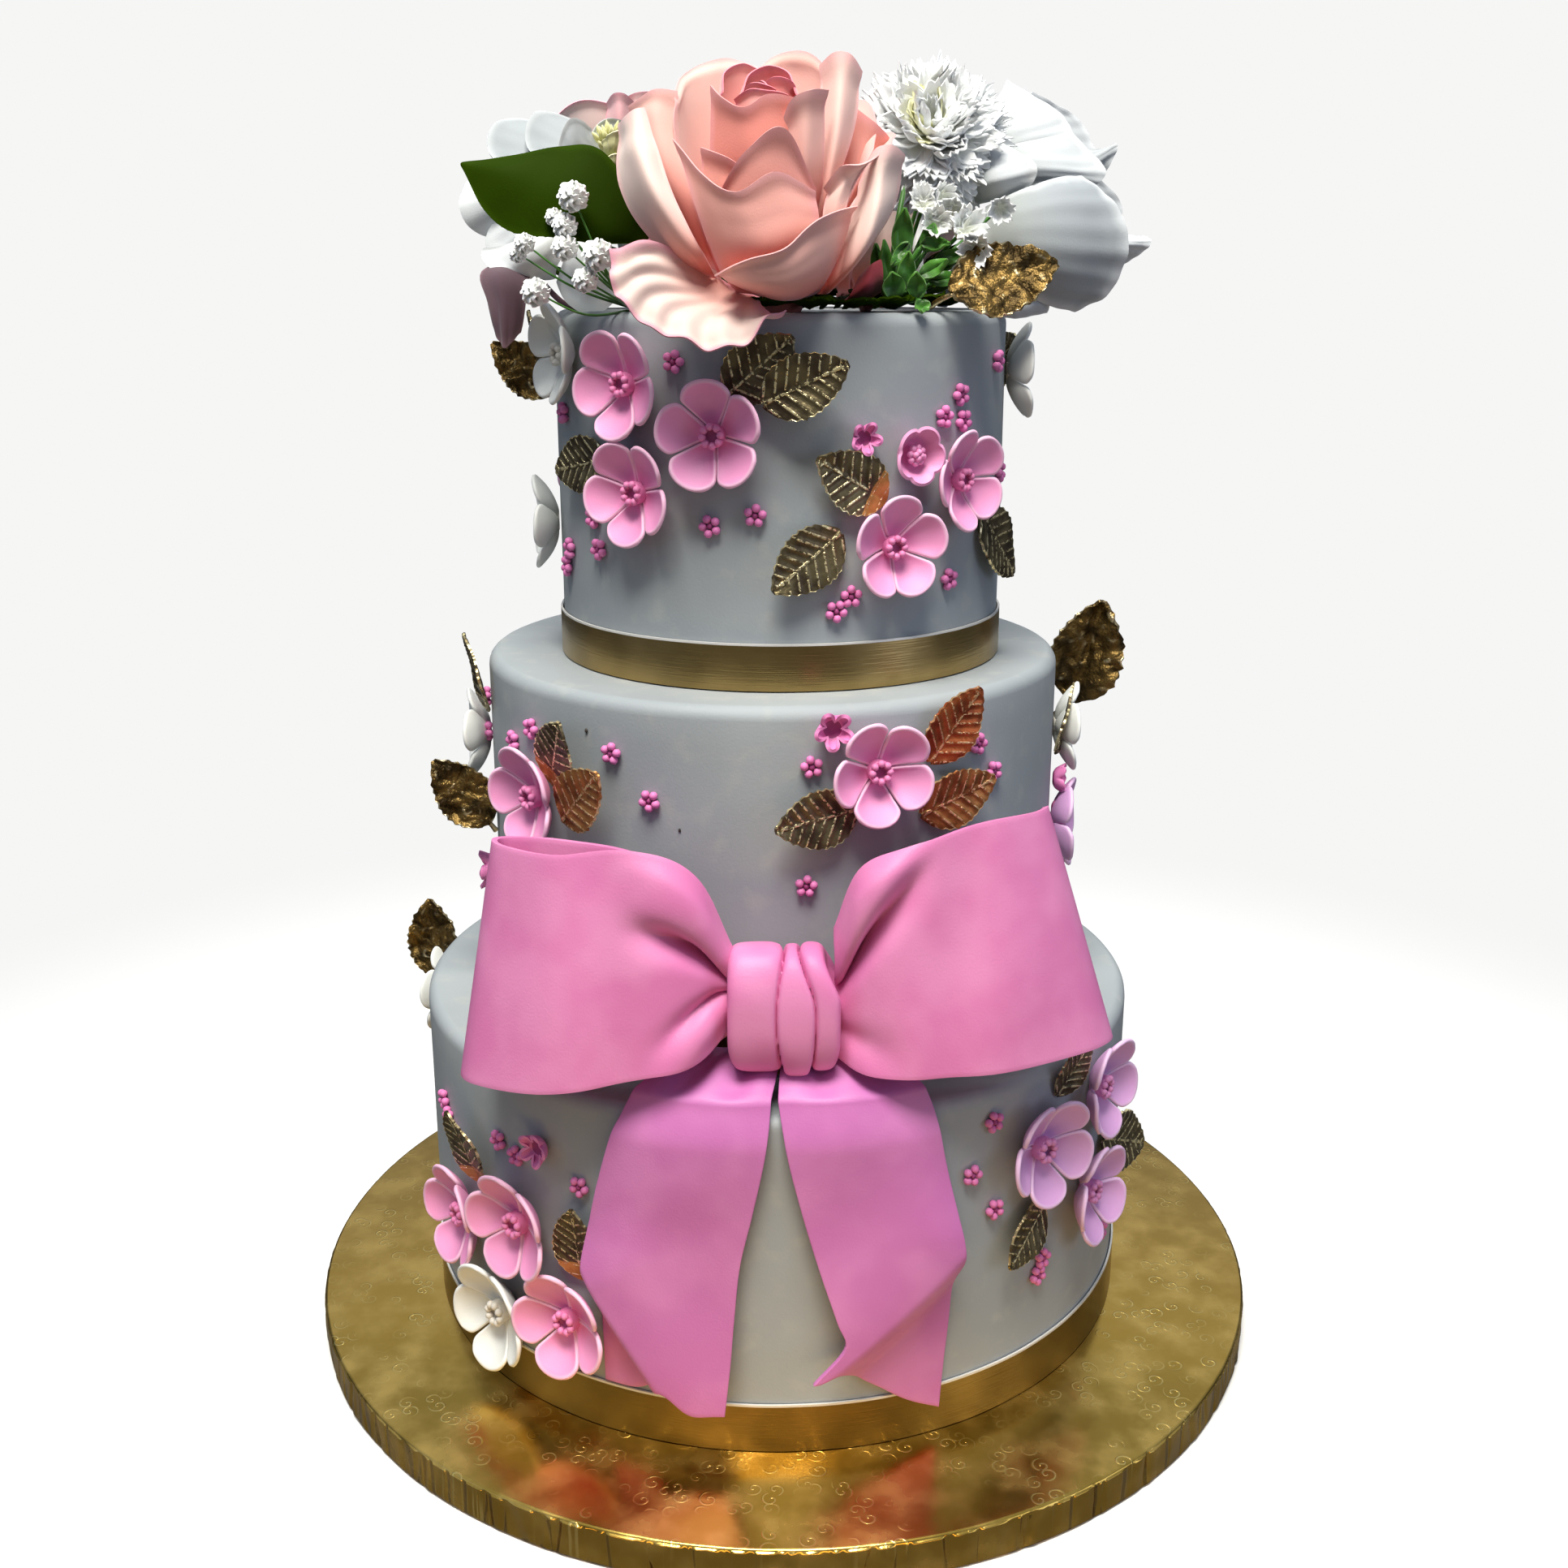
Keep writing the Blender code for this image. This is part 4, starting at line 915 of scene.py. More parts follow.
# name: tier, angle, height above the board, spin, size, paste
BLOSSOMS = {
    "top_1": ("top", -37.0, 0.3360, -32, 1.00, "pink"),
    "top_2": ("top", -14.6, 0.3215, -8, 1.00, "pink"),
    "top_3": ("top", -34.5, 0.3030, -30, 0.98, "pink"),
    "top_4": ("top", 46.2, 0.3060, -20, 0.95, "pink"),
    "top_5": ("top", 26.4, 0.2870, 3, 0.96, "pink"),
    "top_6": ("top", -61.5, 0.3440, 10, 0.95, "white"),
    "top_7": ("top", -83.0, 0.2870, 20, 0.95, "white"),
    "top_8": ("top", 86.0, 0.3370, 0, 0.95, "white"),
    "middle_1": ("middle", -48.5, 0.2040, -18, 1.04, "pink"),
    "middle_2": ("middle", 18.6, 0.2213, 44, 1.00, "pink"),
    "middle_3": ("middle", -83.0, 0.2110, 0, 0.95, "white"),
    "middle_4": ("middle", 86.0, 0.2120, 0, 0.95, "white"),
    "middle_5": ("middle", 80.5, 0.1790, 30, 0.95, "lilac"),
    "bottom_1": ("bottom", -54.5, 0.0567, -18, 1.08, "pink"),
    "bottom_2": ("bottom", -39.8, 0.0675, -18, 1.12, "pink"),
    "bottom_3": ("bottom", -44.8, 0.0290, -33, 1.14, "white"),
    "bottom_4": ("bottom", -30.8, 0.0388, -28, 1.10, "pink"),
    "bottom_5": ("bottom", 40.8, 0.0942, 40, 1.10, "lilac"),
    "bottom_6": ("bottom", 56.0, 0.1036, 34, 1.04, "lilac"),
    "bottom_7": ("bottom", 54.0, 0.0660, 55, 1.06, "lilac"),
}

for number, (name, (tier, angle, height, spin, size, paste)) in enumerate(BLOSSOMS.items()):
    spot = on_tier(tier, angle, height, spin, size=size)
    flower = copy_of(blossom_models[number % 3], f"blossom_{name}_sugar", spot)
    material, slot = PASTES[paste]
    flower.data.materials.append(material)
    finished(flower, slot, f"blossom_{name}")
print(len(BLOSSOMS), "blossoms on the walls")

# %% [markdown]
# ## Half-open and small blossoms
# One blossom is still a cup with a beaded ball in it. Small deep-pink ones are short cups with
# five lobes that bend outwards, and the tiniest are five beads round a pit, pushed out of a
# mould. Deep in the cups and in the pits the paste is painted dark: painted shade. A cup is drawn
# once round from its foot to its rim, and its seam is merged.

# %% Cups
def cup(name, radius, height, lobe, flare):
    """A cup of five lobes. Its lower part gets tone 1, the paste's dark hollow colour: painted shade deep in
    the cup.
    """
    def place(u, v):
        turn = math.pi * u
        notch = 1 - abs(math.cos(2.5 * turn)) ** 0.6
        out = radius * (0.02 + 0.55 * ease(v, 0.0, 0.55) + 0.43 * ease(v, 0.35, 1.0) ** flare)
        out *= 1 - lobe * notch * ease(v, 0.45, 1.0)
        up = height * (0.10 + 0.90 * ease(v, 0.25, 1.05)) * (1 - 0.5 * lobe * notch * ease(v, 0.6, 1.0))
        return (out * math.cos(turn), out * math.sin(turn), up)

    piece = sheet(name, 60, 12, place)
    values = [value.value for value in piece.data.attributes["along"].data]
    paint(piece, "rim", [0.9 if value > 0.95 else 0.4 for value in values])
    # Tone 1 low in the cup: painted shade deep inside it.
    paint(piece, "tone", [0.0 if value > 0.45 else 1.0 for value in values])
    closed(piece, 0.00012)
    modify(piece, "SOLIDIFY", thickness=0.0010, offset=-1.0)
    return piece


half_open = cup("half_open_cup", 0.0093, 0.0078, 0.14, 1.2)
paint(half_open, "tone", [0.0] * len(half_open.data.vertices))
ball = beads("ball", 8, 0.0024, 0.00115, 0.0050, 0.0) + beads("ball_top", 4, 0.0010, 0.0011, 0.0060, 0.0)
flower = join([half_open] + ball, "blossom_cup_sugar")
flower.data.transform(on_tier("top", 31.0, 0.3150, 10))
dress(flower, "blossom_cup_sugar", 70, PINK, "petal_pink", "blossom_cup")

small_cup = cup("small_cup_model", 0.0058, 0.0052, 0.52, 0.8)
# tier, angle, height above the table, spin, size
SMALL_CUPS = (
    ("top", 19.0, 0.3345, 10, 0.92), ("middle", 10.5, 0.2493, 25, 1.12), ("bottom", -35.4, 0.1120, 0, 1.08),
    ("middle", -79.2, 0.1758, 0, 1.30), ("middle", 79.8, 0.2094, 15, 1.00),
    ("middle", 80.1, 0.1972, 40, 1.00),
    ("top", 150.0, 0.3300, 0, 1.00), ("middle", 176.0, 0.2380, 20, 1.10), ("bottom", 150.0, 0.0960, 0, 1.00))
cups = [copy_of(small_cup, f"small_cup_{i}", on_tier(tier, angle, z - BOARD_THICKNESS, spin, size=size))
        for i, (tier, angle, z, spin, size) in enumerate(SMALL_CUPS)]
put_away(small_cup)
dress(join(cups, "blossoms_small_cups"), "blossoms_small_cups", 70, DEEP, "petal_pink")

# %% Tiniest blossoms
# The pit bead has tone 1, the paste's dark hollow colour: painted shade in the pit.
tiny = join(beads("tiny_lobe", 5, 0.00200, 0.00120, 0.0009, 0.0)
            + beads("tiny_pit", 1, 0.0, 0.00085, 0.0008, 1.0), "tiny_model")
# tier: (angle, height above the table) of each
TINY = {
    "top": ((-24.5, 356.9), (-16.1, 307.7), (-5.6, 311.3), (-49.1, 297.0), (-65.0, 294.6), (-67.6, 288.3),
            (-66.3, 338.8), (-51.1, 307.0), (47.3, 346.1), (41.5, 339.6), (48.5, 338.0), (16.7, 285.7),
            (13.1, 281.3), (44.7, 288.0), (65.9, 355.4), (71.3, 319.2), (118, 330), (124, 322), (160, 300),
            (196, 346), (203, 340), (235, 300), (250, 330)),
    "middle": ((-50.3, 240.0), (-57.7, 233.0), (-29.4, 238.1), (-21.8, 224.3), (-78.5, 240.0),
               (-79.7, 227.1), (7.1, 237.2), (40.4, 238.2), (44.9, 227.5), (6.2, 198.4), (112, 225),
               (120, 214), (158, 190), (188, 236), (194, 226), (228, 200), (236, 232), (244, 176)),
    "bottom": ((-62.9, 105.0), (-60.9, 100.2), (-59.0, 95.6), (-44.7, 106.7), (-40.7, 104.4),
               (-28.7, 101.8), (32.2, 122.7), (28.7, 105.9), (32.9, 90.9), (43.4, 63.6), (42.4, 58.0),
               (63.3, 52.4), (100, 96), (106, 88), (141, 60), (168, 108), (174, 100), (208, 62),
               (222, 104), (230, 96), (262, 76)),
}
scattered = []
for tier, spots in TINY.items():
    for i, (angle, z) in enumerate(spots):
        spot = on_tier(tier, angle, z * MM - BOARD_THICKNESS, 31 * i % 72, size=1.18)
        scattered.append(copy_of(tiny, f"tiny_{tier}_{i}", spot))
put_away(tiny)
dress(join(scattered, "blossoms_tiny"), "blossoms_tiny", 80, DEEP, "petal_pink")

# %% [markdown]
# ## Gilded leaves
# The leaves are sugar paste pressed in a veined mould and brushed with gold lustre. The raised
# veins and teeth rub bright, and the hollows between stay bronze. A leaf is a sheet with a
# pointed oval outline, teeth along its edge, a folded midrib and slanting side veins.

# %% Gilded paste
# Gold lustre on sugar: a real metal gloss, bright where it is burnished and dull in the hollows.
# The bright lines on the veins are finer than the grid, so they are drawn here from two lengths
# that the blade keeps: how far a point is from the midrib, and from the base.
def vein_lines(material):
    """1 on the midrib and on the slanting side veins, broken up as lustre rubs off."""
    across = add(material, "Attribute", output="Fac", attribute_name="from_midrib")
    across = add(material, "Math", [across], operation="ABSOLUTE")
    along = add(material, "Attribute", output="Fac", attribute_name="from_base")
    slanted = add(material, "Math", (across, -VEIN_SLANT, along), operation="MULTIPLY_ADD")
    beside = add(material, "Math", (slanted, VEIN_SPACING / 2), operation="PINGPONG")
    midrib = add(material, "MapRange", (across, 0.38, 0.22), **SOFT)
    side = add(material, "MapRange", (beside, 0.31, 0.15), **SOFT)
    lines = add(material, "Math", (midrib, side), operation="MAXIMUM")
    return add(material, "Math", (lines, clouds(material, 1.3, 0.42, 0.56)), operation="MULTIPLY")


def lustre(name, hollow, body, bright, shine=0.80, fine_depth=0.16, veins=True):
    """Gold lustre: dull in the hollows, bright where it is rubbed, and bare sugar in places."""
    material = new_material(name, body, metallic=shine, roughness=0.38)
    raised = add(material, "Attribute", output="Fac", attribute_name="rim")
    rubbed = add(material, "MapRange", (raised, 0.35, 0.85), **SOFT)
    if veins:
        rubbed = add(material, "Math", (rubbed, vein_lines(material)), operation="MAXIMUM")
    missed = add(material, "Attribute", output="Fac", attribute_name="tone")
    bare = add(material, "Math", (blobs(material, 3.0, 3.0), 0.9, missed), operation="MULTIPLY_ADD")
    bare = add(material, "MapRange", (bare, 0.85, 1.05), **SOFT)
    dull = clouds(material, 6, 0.35, 0.65, 3.0)
    gilded = add(material, "Mix", {0: dull, 6: hollow, 7: body}, 2, **COLOURS)
    sugar = add(material, "Mix", {0: dull, 6: "#a87a3e", 7: "#c99a58"}, 2, **COLOURS)
    colour = add(material, "Mix", {0: bare, 6: gilded, 7: sugar}, 2, **COLOURS)
    feed(material, "Base Color", add(material, "Mix", {0: rubbed, 6: colour, 7: bright}, 2, **COLOURS))
    fine = add(material, "Bump", {"Height": blobs(material, 1.1, 3.0), "Distance": fine_depth * MM})
    feed(material, "Normal", add(material, "Bump", {"Height": rubbed, "Distance": 0.10 * MM, "Normal": fine}))
    feed(material, "Roughness", add(material, "MapRange", (rubbed, 0.0, 1.0, 0.42, 0.24)))
    return material


VEIN_SPACING, VEIN_SLANT = 3.7, 0.62
GILT = lustre("gold_lustre_on_sugar", "#4b4030", "#6f6448", "#f6e6b0")
COPPER = lustre("copper_lustre_on_sugar", "#84552e", "#b98049", "#ffdca2")
RED_GILT = lustre("reddish_lustre_on_sugar", "#8a4426", "#c46a3a", "#ffcf98")
BRIGHT_GILT = lustre("thick_gold_lustre", "#40331c", "#7c6437", "#f2dfb0", 0.90, 0.60, False)

# %% Leaf blade
LEAF_LENGTH, LEAF_HALF_WIDTH = 0.0285, 0.0092
LEAF_TEETH = 11


def leaf_half(t):
    """Half the blade's width at a share t of its length."""
    return LEAF_HALF_WIDTH * max(math.sin(math.pi * min(max(t, 0.0), 1.0) ** 0.8), 0.0) ** 0.75


def leaf_veins(u, t):
    """1 on a vein and 0 between: the midrib and the slanting side veins."""
    midrib = hump(u * leaf_half(t) / MM, 0.0, 0.55) * (1 - ease(t, 0.9, 1.0))
    slant = (LEAF_LENGTH * t - VEIN_SLANT * abs(u) * leaf_half(t)) / (VEIN_SPACING * MM) + 0.5
    side = hump(slant % 1.0, 0.5, 0.15) * (1 - ease(abs(u), 0.80, 0.97)) * ease(t, 0.02, 0.12)
    return max(midrib, side * ease(abs(u), 0.02, 0.12))


def crumple(x, y, seed):
    """1 on the creases of crumpled paste, and down to -1 between them."""
    return 1 - 2 * abs(noise.noise((x * 230, y * 230, seed * 2.3)))


def blade(crinkle, curl, fold, seed, bare):
    """The place(u, v) of a blade along +Y, folded at its midrib and curled up towards its tip."""
    def place(u, v):
        t = 0.004 + 0.992 * v
        half = leaf_half(t)
        tooth = ((t * LEAF_TEETH) % 1.0 - 0.42) * 0.0014 * ease(abs(u), 0.80, 1.0) * ease(t, 0.05, 0.15)
        x = u * half + math.copysign(tooth, u)
        y = LEAF_LENGTH * t
        plain = ease(t, bare, bare + 0.10) if bare else 1.0
        z = fold * abs(x) + 0.00050 * leaf_veins(u, t) * plain
        z += curl * t * t * LEAF_LENGTH - 0.0009 * (u * u) * math.sin(t * 9 + seed) * 0.5
        if crinkle:
            z += crinkle * crumple(x, y, seed) * (0.4 + 0.6 * abs(u))
            z += crinkle * 1.6 * noise.noise((x * 90, y * 90, seed + 9.1))
        return (x, y, z)
    return place


def leaf(name, crinkle=0.0, curl=0.05, fold=0.16, seed=1.0, bare=0.0, faces=(28, 50)):
    """A leaf along +Y from its base, with its vein pattern kept for the material."""
    piece = sheet(name, faces[0], faces[1], blade(crinkle, curl, fold, seed, bare))
    across, along = faces[0] + 1, faces[1]
    rub, bared, lengths = [], [], []
    for i in range(len(piece.data.vertices)):
        u, t = 2 * (i % across) / faces[0] - 1, (i // across) / along
        veins = leaf_veins(u, t) * (ease(t, bare, bare + 0.10) if bare else 1.0)
        edge = 0.9 * ease(abs(u), 0.93, 1.0)
        plain = t < bare + 0.02 or t > 0.94
        lengths.append((9.0 if plain else u * leaf_half(t) / MM, LEAF_LENGTH * t / MM))
        spark = 0.5 + 0.9 * noise.noise((u * 4, t * 13, seed * 5.5))
        if crinkle:
            crease = crumple(u * leaf_half(t), LEAF_LENGTH * t, seed)
            veins = max(veins * 0.6, ease(crease, 0.55, 0.95))
        rub.append(max(veins * 0.55, edge) * min(max(spark, 0.0), 1.0) * 1.3)
        bared.append(1 - ease(t, bare, bare + 0.06) if bare else 0.0)
    paint(piece, "rim", rub)
    paint(piece, "tone", bared)
    paint(piece, "from_midrib", [length[0] for length in lengths])
    paint(piece, "from_base", [length[1] for length in lengths])
    modify(piece, "SOLIDIFY", thickness=0.0008, offset=1.0)
    return settle(piece, name, 60)


leaf_models = {
    "plain_a": leaf("leaf_model_a", seed=1.0), "plain_b": leaf("leaf_model_b", seed=2.0, curl=0.09),
    "bare": leaf("leaf_model_bare", seed=3.0, bare=0.20, curl=0.07),
    "crinkled": leaf("leaf_model_crinkled", crinkle=0.0014, seed=4.0, curl=0.02, fold=0.10),
    "curled": leaf("leaf_model_curled", crinkle=0.0016, seed=8.0, curl=0.16, fold=0.30, faces=(32, 60)),
    "small": leaf("leaf_model_small", seed=5.0, faces=(20, 34)),
}
print("one leaf has", len(leaf_models["plain_a"].data.polygons), "faces")

# name: tier, angle and height of the base, spin, lift, lean, size, kind
LEAVES = {
    "top_1": ("top", -44.5, 0.3125, -102, 0.0004, 3, 0.95, "plain_a"),
    "top_2": ("top", -12.0, 0.3330, 50, 0.0004, 3, 0.98, "plain_b"),
    "top_3": ("top", -3.5, 0.3312, 65, 0.0054, 3, 1.00, "plain_a"),
    "top_4": ("top", 25.0, 0.3010, -60, 0.0004, 3, 1.00, "bare"),
    "top_5": ("top", 14.0, 0.2920, -128, 0.0004, 3, 1.00, "plain_b"),
    "top_6": ("top", 58.0, 0.2940, 140, 0.0004, 6, 1.08, "plain_a"),
    "middle_1": ("middle", -44.4, 0.2098, 30, 0.0004, 10, 1.00, "bare"),
    "middle_2": ("middle", -39.6, 0.1995, 45, 0.0034, 6, 1.02, "copper"),
    "middle_3": ("middle", 29.2, 0.2215, 35, 0.0004, 6, 1.00, "red"),
    "middle_4": ("middle", 27.6, 0.2045, 70, 0.0004, 6, 1.00, "copper"),
    "middle_5": ("middle", 15.3, 0.2090, -98, 0.0004, 6, 1.00, "plain_b"),
    "bottom_1": ("bottom", -50.0, 0.0720, -13, 0.0004, 12, 1.02, "bare"),
    "bottom_2": ("bottom", 43.2, 0.0712, -122, 0.0004, 8, 0.95, "plain_a"),
}
WALL_HUG = 0.55                    # how far a leaf follows the wall's curve: 1 is all the way


def leaf_on_wall(model, name, tier, angle, height, spin, lift, lean, size):
    """A copy of a leaf, bent a little round the tier and put in its place."""
    flat = on_tier(tier, angle, height, 0, lift)
    piece = copy_of(model, name, turned(spin, lean) @ Matrix.Scale(size, 4))
    for vertex in piece.data.vertices:
        vertex.co.z -= WALL_HUG * vertex.co.x ** 2 / (2 * TIER_RADIUS[tier])
    piece.data.transform(flat)
    return piece


for name, (tier, angle, height, spin, lift, lean, size, kind) in LEAVES.items():
    model = leaf_models.get(kind, leaf_models["plain_a"])
    piece = leaf_on_wall(model, f"leaf_{name}_gilded", tier, angle, height, spin, lift, lean, size)
    piece.data.materials.append({"copper": COPPER, "red": RED_GILT}.get(kind, GILT))
    finished(piece, "gilded_leaf", f"leaf_{name}")

# %% [markdown]
# ## Leaves that stand out
# Five thicker, crinkled leaves stand free of the wall on a short stalk. Each is placed by the
# foot of its stalk, the base of its blade, the way it points and the side that it faces.

# %% Free leaves
FREE_LEAVES = {
    "leaf_middle_6": ((-0.1022, -0.0290, 0.1930), (-0.1040, -0.0300, 0.1960),
                      (-0.62, 0.00, 0.78), (0.10, -1.0, 0.2), 1.05),
    "leaf_middle_7": ((0.0980, 0.0130, 0.2230), (0.1075, 0.0125, 0.2305),
                      (0.24, 0.02, 0.97), (-0.15, -1.0, 0.2), 1.40),
    "leaf_topper": ((0.0450, -0.0560, 0.3724), (0.0500, -0.0640, 0.3765),
                    (0.95, 0.25, 0.22), (0.15, -0.9, 0.4), 1.25),
    "leaf_back_left": ((-0.1290, 0.0305, 0.1085), (-0.1392, 0.0300, 0.1125),
                       (-0.02, 0.05, 1.00), (-0.15, -1.0, 0.2), 1.15),
    "leaf_top_left": ((-0.0760, 0.0030, 0.3425), (-0.0795, 0.0045, 0.3430),
                      (-0.78, 0.02, 0.60), (-0.10, -1.0, 0.25), 0.95),
}


def stalk(name, points, thick, thin, sides=8, steps=14, tone=0.0):
    """A tapered round stem through key points."""
    def place(u, v):
        centre = curve_through(points, v)
        ahead = curve_through(points, min(v + 0.02, 1.0)) - curve_through(points, max(v - 0.02, 0.0))
        side = ahead.cross(Vector((0.3, 1.0, 0.2))).normalized()
        other = ahead.cross(side).normalized()
        radius = (thick + (thin - thick) * v) * (0.02 if v in (0.0, 1.0) else 1.0)
        return centre + (side * math.cos(u * math.pi) + other * math.sin(u * math.pi)) * radius
    return settle(closed(sheet(name, sides, steps, place, tone), 0.00003), name, 80)


for name, (foot, base, along, facing, size) in FREE_LEAVES.items():
    along = Vector(along).normalized()
    across = along.cross(Vector(facing)).normalized()
    basis = Matrix((across, along, across.cross(along))).transposed().to_4x4()
    kind = "curled" if name == "leaf_middle_7" else "crinkled"
    piece = copy_of(leaf_models[kind], f"{name}_gilded", Matrix.Translation(base) @ basis, size)
    tip = Vector(base) + along * 0.003
    stem = stalk(f"{name}_stalk", [foot, Vector(foot).lerp(Vector(base), 0.5), tip], 0.0011, 0.0007)
    piece = join([piece, stem], f"{name}_gilded")
    piece.data.materials.clear()
    piece.data.materials.append(BRIGHT_GILT)
    finished(piece, "gilded_leaf", *([name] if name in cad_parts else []))

# %% [markdown]
# ## More leaves, and the back of the cake
# A few more leaves show half hidden at the sides. The back isn't in the picture, so it is
# finished with the same blossoms and leaves in looser groups.

# %% Side and back groups
# tier, angle and height of the base, spin, lift, lean, size, kind
MORE_LEAVES = (
    ("top", -76.0, 0.3300, -10, 0.0010, 8, 1.00, "plain_b"),
    ("middle", 78.0, 0.2060, 40, 0.0008, 8, 1.00, "plain_a"),
    ("middle", -74.0, 0.2230, -20, 0.0008, 8, 1.00, "plain_b"),
    ("bottom", -28.9, 0.0540, 0, 0.0004, 4, 0.98, "bare"),
    ("bottom", 45.0, 0.1090, 40, 0.0004, 6, 0.80, "plain_a"),
    ("bottom", 60.0, 0.0790, 115, 0.0008, 8, 1.15, "plain_b"))
# A group: tier and angle, its blossoms (offset in degrees, height above the board, spin, paste),
# then its leaves (offset, height and spin)
BACK_GROUPS = (
    ("top", 128, ((0, 0.3240, 10, "pink"), (22, 0.3060, 40, "white")),
     ((-14, 0.3330, -60), (30, 0.3200, 40))),
    ("top", 218, ((0, 0.3150, 25, "pink"), (20, 0.2960, 5, "pink"), (-21, 0.3020, 50, "lilac")),
     ((14, 0.3270, 30), (-12, 0.2840, -140))),
    ("middle", 135, ((0, 0.2060, 0, "pink"), (17, 0.1880, 35, "lilac")),
     ((-11, 0.2150, -50), (25, 0.2010, 60))),
    ("middle", 205, ((0, 0.2100, 20, "white"), (16, 0.1950, 50, "pink")),
     ((9, 0.2240, 20), (-12, 0.2000, -110))),
    ("bottom", 120, ((0, 0.0780, 15, "pink"), (13, 0.0620, 45, "white")),
     ((-7, 0.0860, -40), (20, 0.0770, 50))),
    ("bottom", 190, ((0, 0.0700, 5, "lilac"), (13, 0.0560, 30, "pink"), (-13, 0.0540, 60, "pink")),
     ((8, 0.0830, 30), (-20, 0.0700, -70))),
    ("bottom", 243, ((0, 0.0880, 25, "pink"), (14.5, 0.0950, 0, "white")),
     ((-9, 0.0940, -50), (9, 0.0720, 110))))

back = {"pink": [], "lilac": [], "white": []}
back_leaves = []
for *spot, kind in MORE_LEAVES:
    back_leaves.append(leaf_on_wall(leaf_models[kind], "leaf_more", *spot))
for tier, middle, flowers, leaves in BACK_GROUPS:
    for off, height, spin, paste in flowers:
        model = blossom_models[len(back[paste]) % 3]
        back[paste].append(copy_of(model, "blossom_more", on_tier(tier, middle + off, height, spin)))
    for off, height, spin in leaves:
        back_leaves.append(leaf_on_wall(leaf_models["small"], "leaf_more", tier, middle + off, height, spin,
                                        0.0006, 6, 1.0))
for paste, flowers in back.items():
    group = join(flowers, f"blossoms_back_{paste}")
    group.data.materials.append(PASTES[paste][0])
    finished(group, PASTES[paste][1])
back_leaves = join(back_leaves, "leaves_sides_and_back")
back_leaves.data.materials.append(GILT)
finished(back_leaves, "gilded_leaf")
for model in [*blossom_models, *leaf_models.values()]:
    put_away(model)
print("leaves at the sides and back:", len(back_leaves.data.polygons), "faces")

# %% [markdown]
# ## Two specks
# Two dark crumbs, less than a millimetre across, stick to the middle tier. They are small marks
# of a hand-made cake, so they stay.

# %% Specks
specks = []
for angle, z, size in ((-35.2, 0.2438, 0.00055), (-16.4, 0.2154, 0.00045)):
    crumb = primitive("ico_sphere", subdivisions=2, radius=size)
    for vertex in crumb.data.vertices:
        vertex.co *= 1 + 0.4 * noise.noise(vertex.co * 1800)
    flat = Matrix.Diagonal((1.0, 1.5, 0.6, 1.0))
    crumb.data.transform(on_tier("middle", angle, z - BOARD_THICKNESS, 0) @ flat)
    specks.append(crumb)
# Cocoa crumb: nearly black brown, quite matt.
cocoa = new_material("cocoa_crumb", "#3a332e", roughness=0.8)
spots = clouds(cocoa, 0.4, 0.4, 0.6)
feed(cocoa, "Base Color", add(cocoa, "Mix", {0: spots, 6: "#2c2723", 7: "#4a423b"}, 2, **COLOURS))
dress(join(specks, "crumbs"), "crumbs", 80, cocoa, "fondant_grey")

# %% [markdown]
# ## The posy
# Cloth flowers lie on the top: a big salmon rose in front, two smaller ones behind, white open
# blooms left and right, a white chrysanthemum, baby's breath and green sprigs. Their petals are
# cut from stiffened cloth and pressed hot, so each keeps its own curl. The petals that the
# picture shows are each drawn through a few key points. A key point is given by where the camera
# sees it, in steps of half a pixel from a corner of the posy, and by how far forward it lies.

# %% Points seen by the camera
PICTURE = 1932                             # pixels on each side
FOCAL = LENS / SENSOR * PICTURE
POSY_CORNER = (540, 40)                    # pixels from the picture's upper left corner


def seen(across, down, y_mm):
    """The point that the camera sees at this place of the picture, on the plane Y = y_mm."""
    right = (POSY_CORNER[0] + across / 2 - PICTURE / 2) / FOCAL
    up = (PICTURE / 2 - POSY_CORNER[1] - down / 2) / FOCAL
    ray = camera.rotation_euler.to_matrix() @ Vector((right, up, -1.0))
    return camera.location + ray * ((y_mm * MM - camera.location.y) / ray.y)

# %% Cloth
# Stiffened polyester satin, cut and hot-pressed: soft, nearly matt, with a faint sheen. Colours
# run softly from the foot of a petal to its rim: the sprayed dye, and in the roses partly
# painted shade deep in the flower.
def petal_cloth(name, foot, deep, pale, rim, rim_share=0.6, roughness=0.78, sheen=0.25):
    """Cloth coloured from its foot to its rim, by dye and partly as painted shade; a petal's tone goes from
    deep to pale.
    """
    material = new_material(name, pale, roughness=roughness, sheen_weight=sheen, sheen_roughness=0.5)
    tone, along, rim_value = [add(material, "Attribute", output="Fac", attribute_name=value)
                              for value in ("tone", "along", "rim")]
    body = add(material, "Mix", {0: tone, 6: deep, 7: pale}, 2, **COLOURS)
    dye_and_painted_shade_share = add(material, "MapRange", (along, 0.0, 0.65), **SOFT)
    body = add(material, "Mix", {0: dye_and_painted_shade_share, 6: foot, 7: body}, 2, **COLOURS)
    edge = add(material, "Math", (blobs(material, 7, 3.0), 0.16, rim_value), operation="MULTIPLY_ADD")
    edge = add(material, "MapRange", (edge, 0.90, 1.10, 0.0, rim_share), **SOFT)
    feed(material, "Base Color", add(material, "Mix", {0: edge, 6: body, 7: rim}, 2, **COLOURS))
    press_grain(material, 0.5, 0.05, 1.0)  # threads
    return material
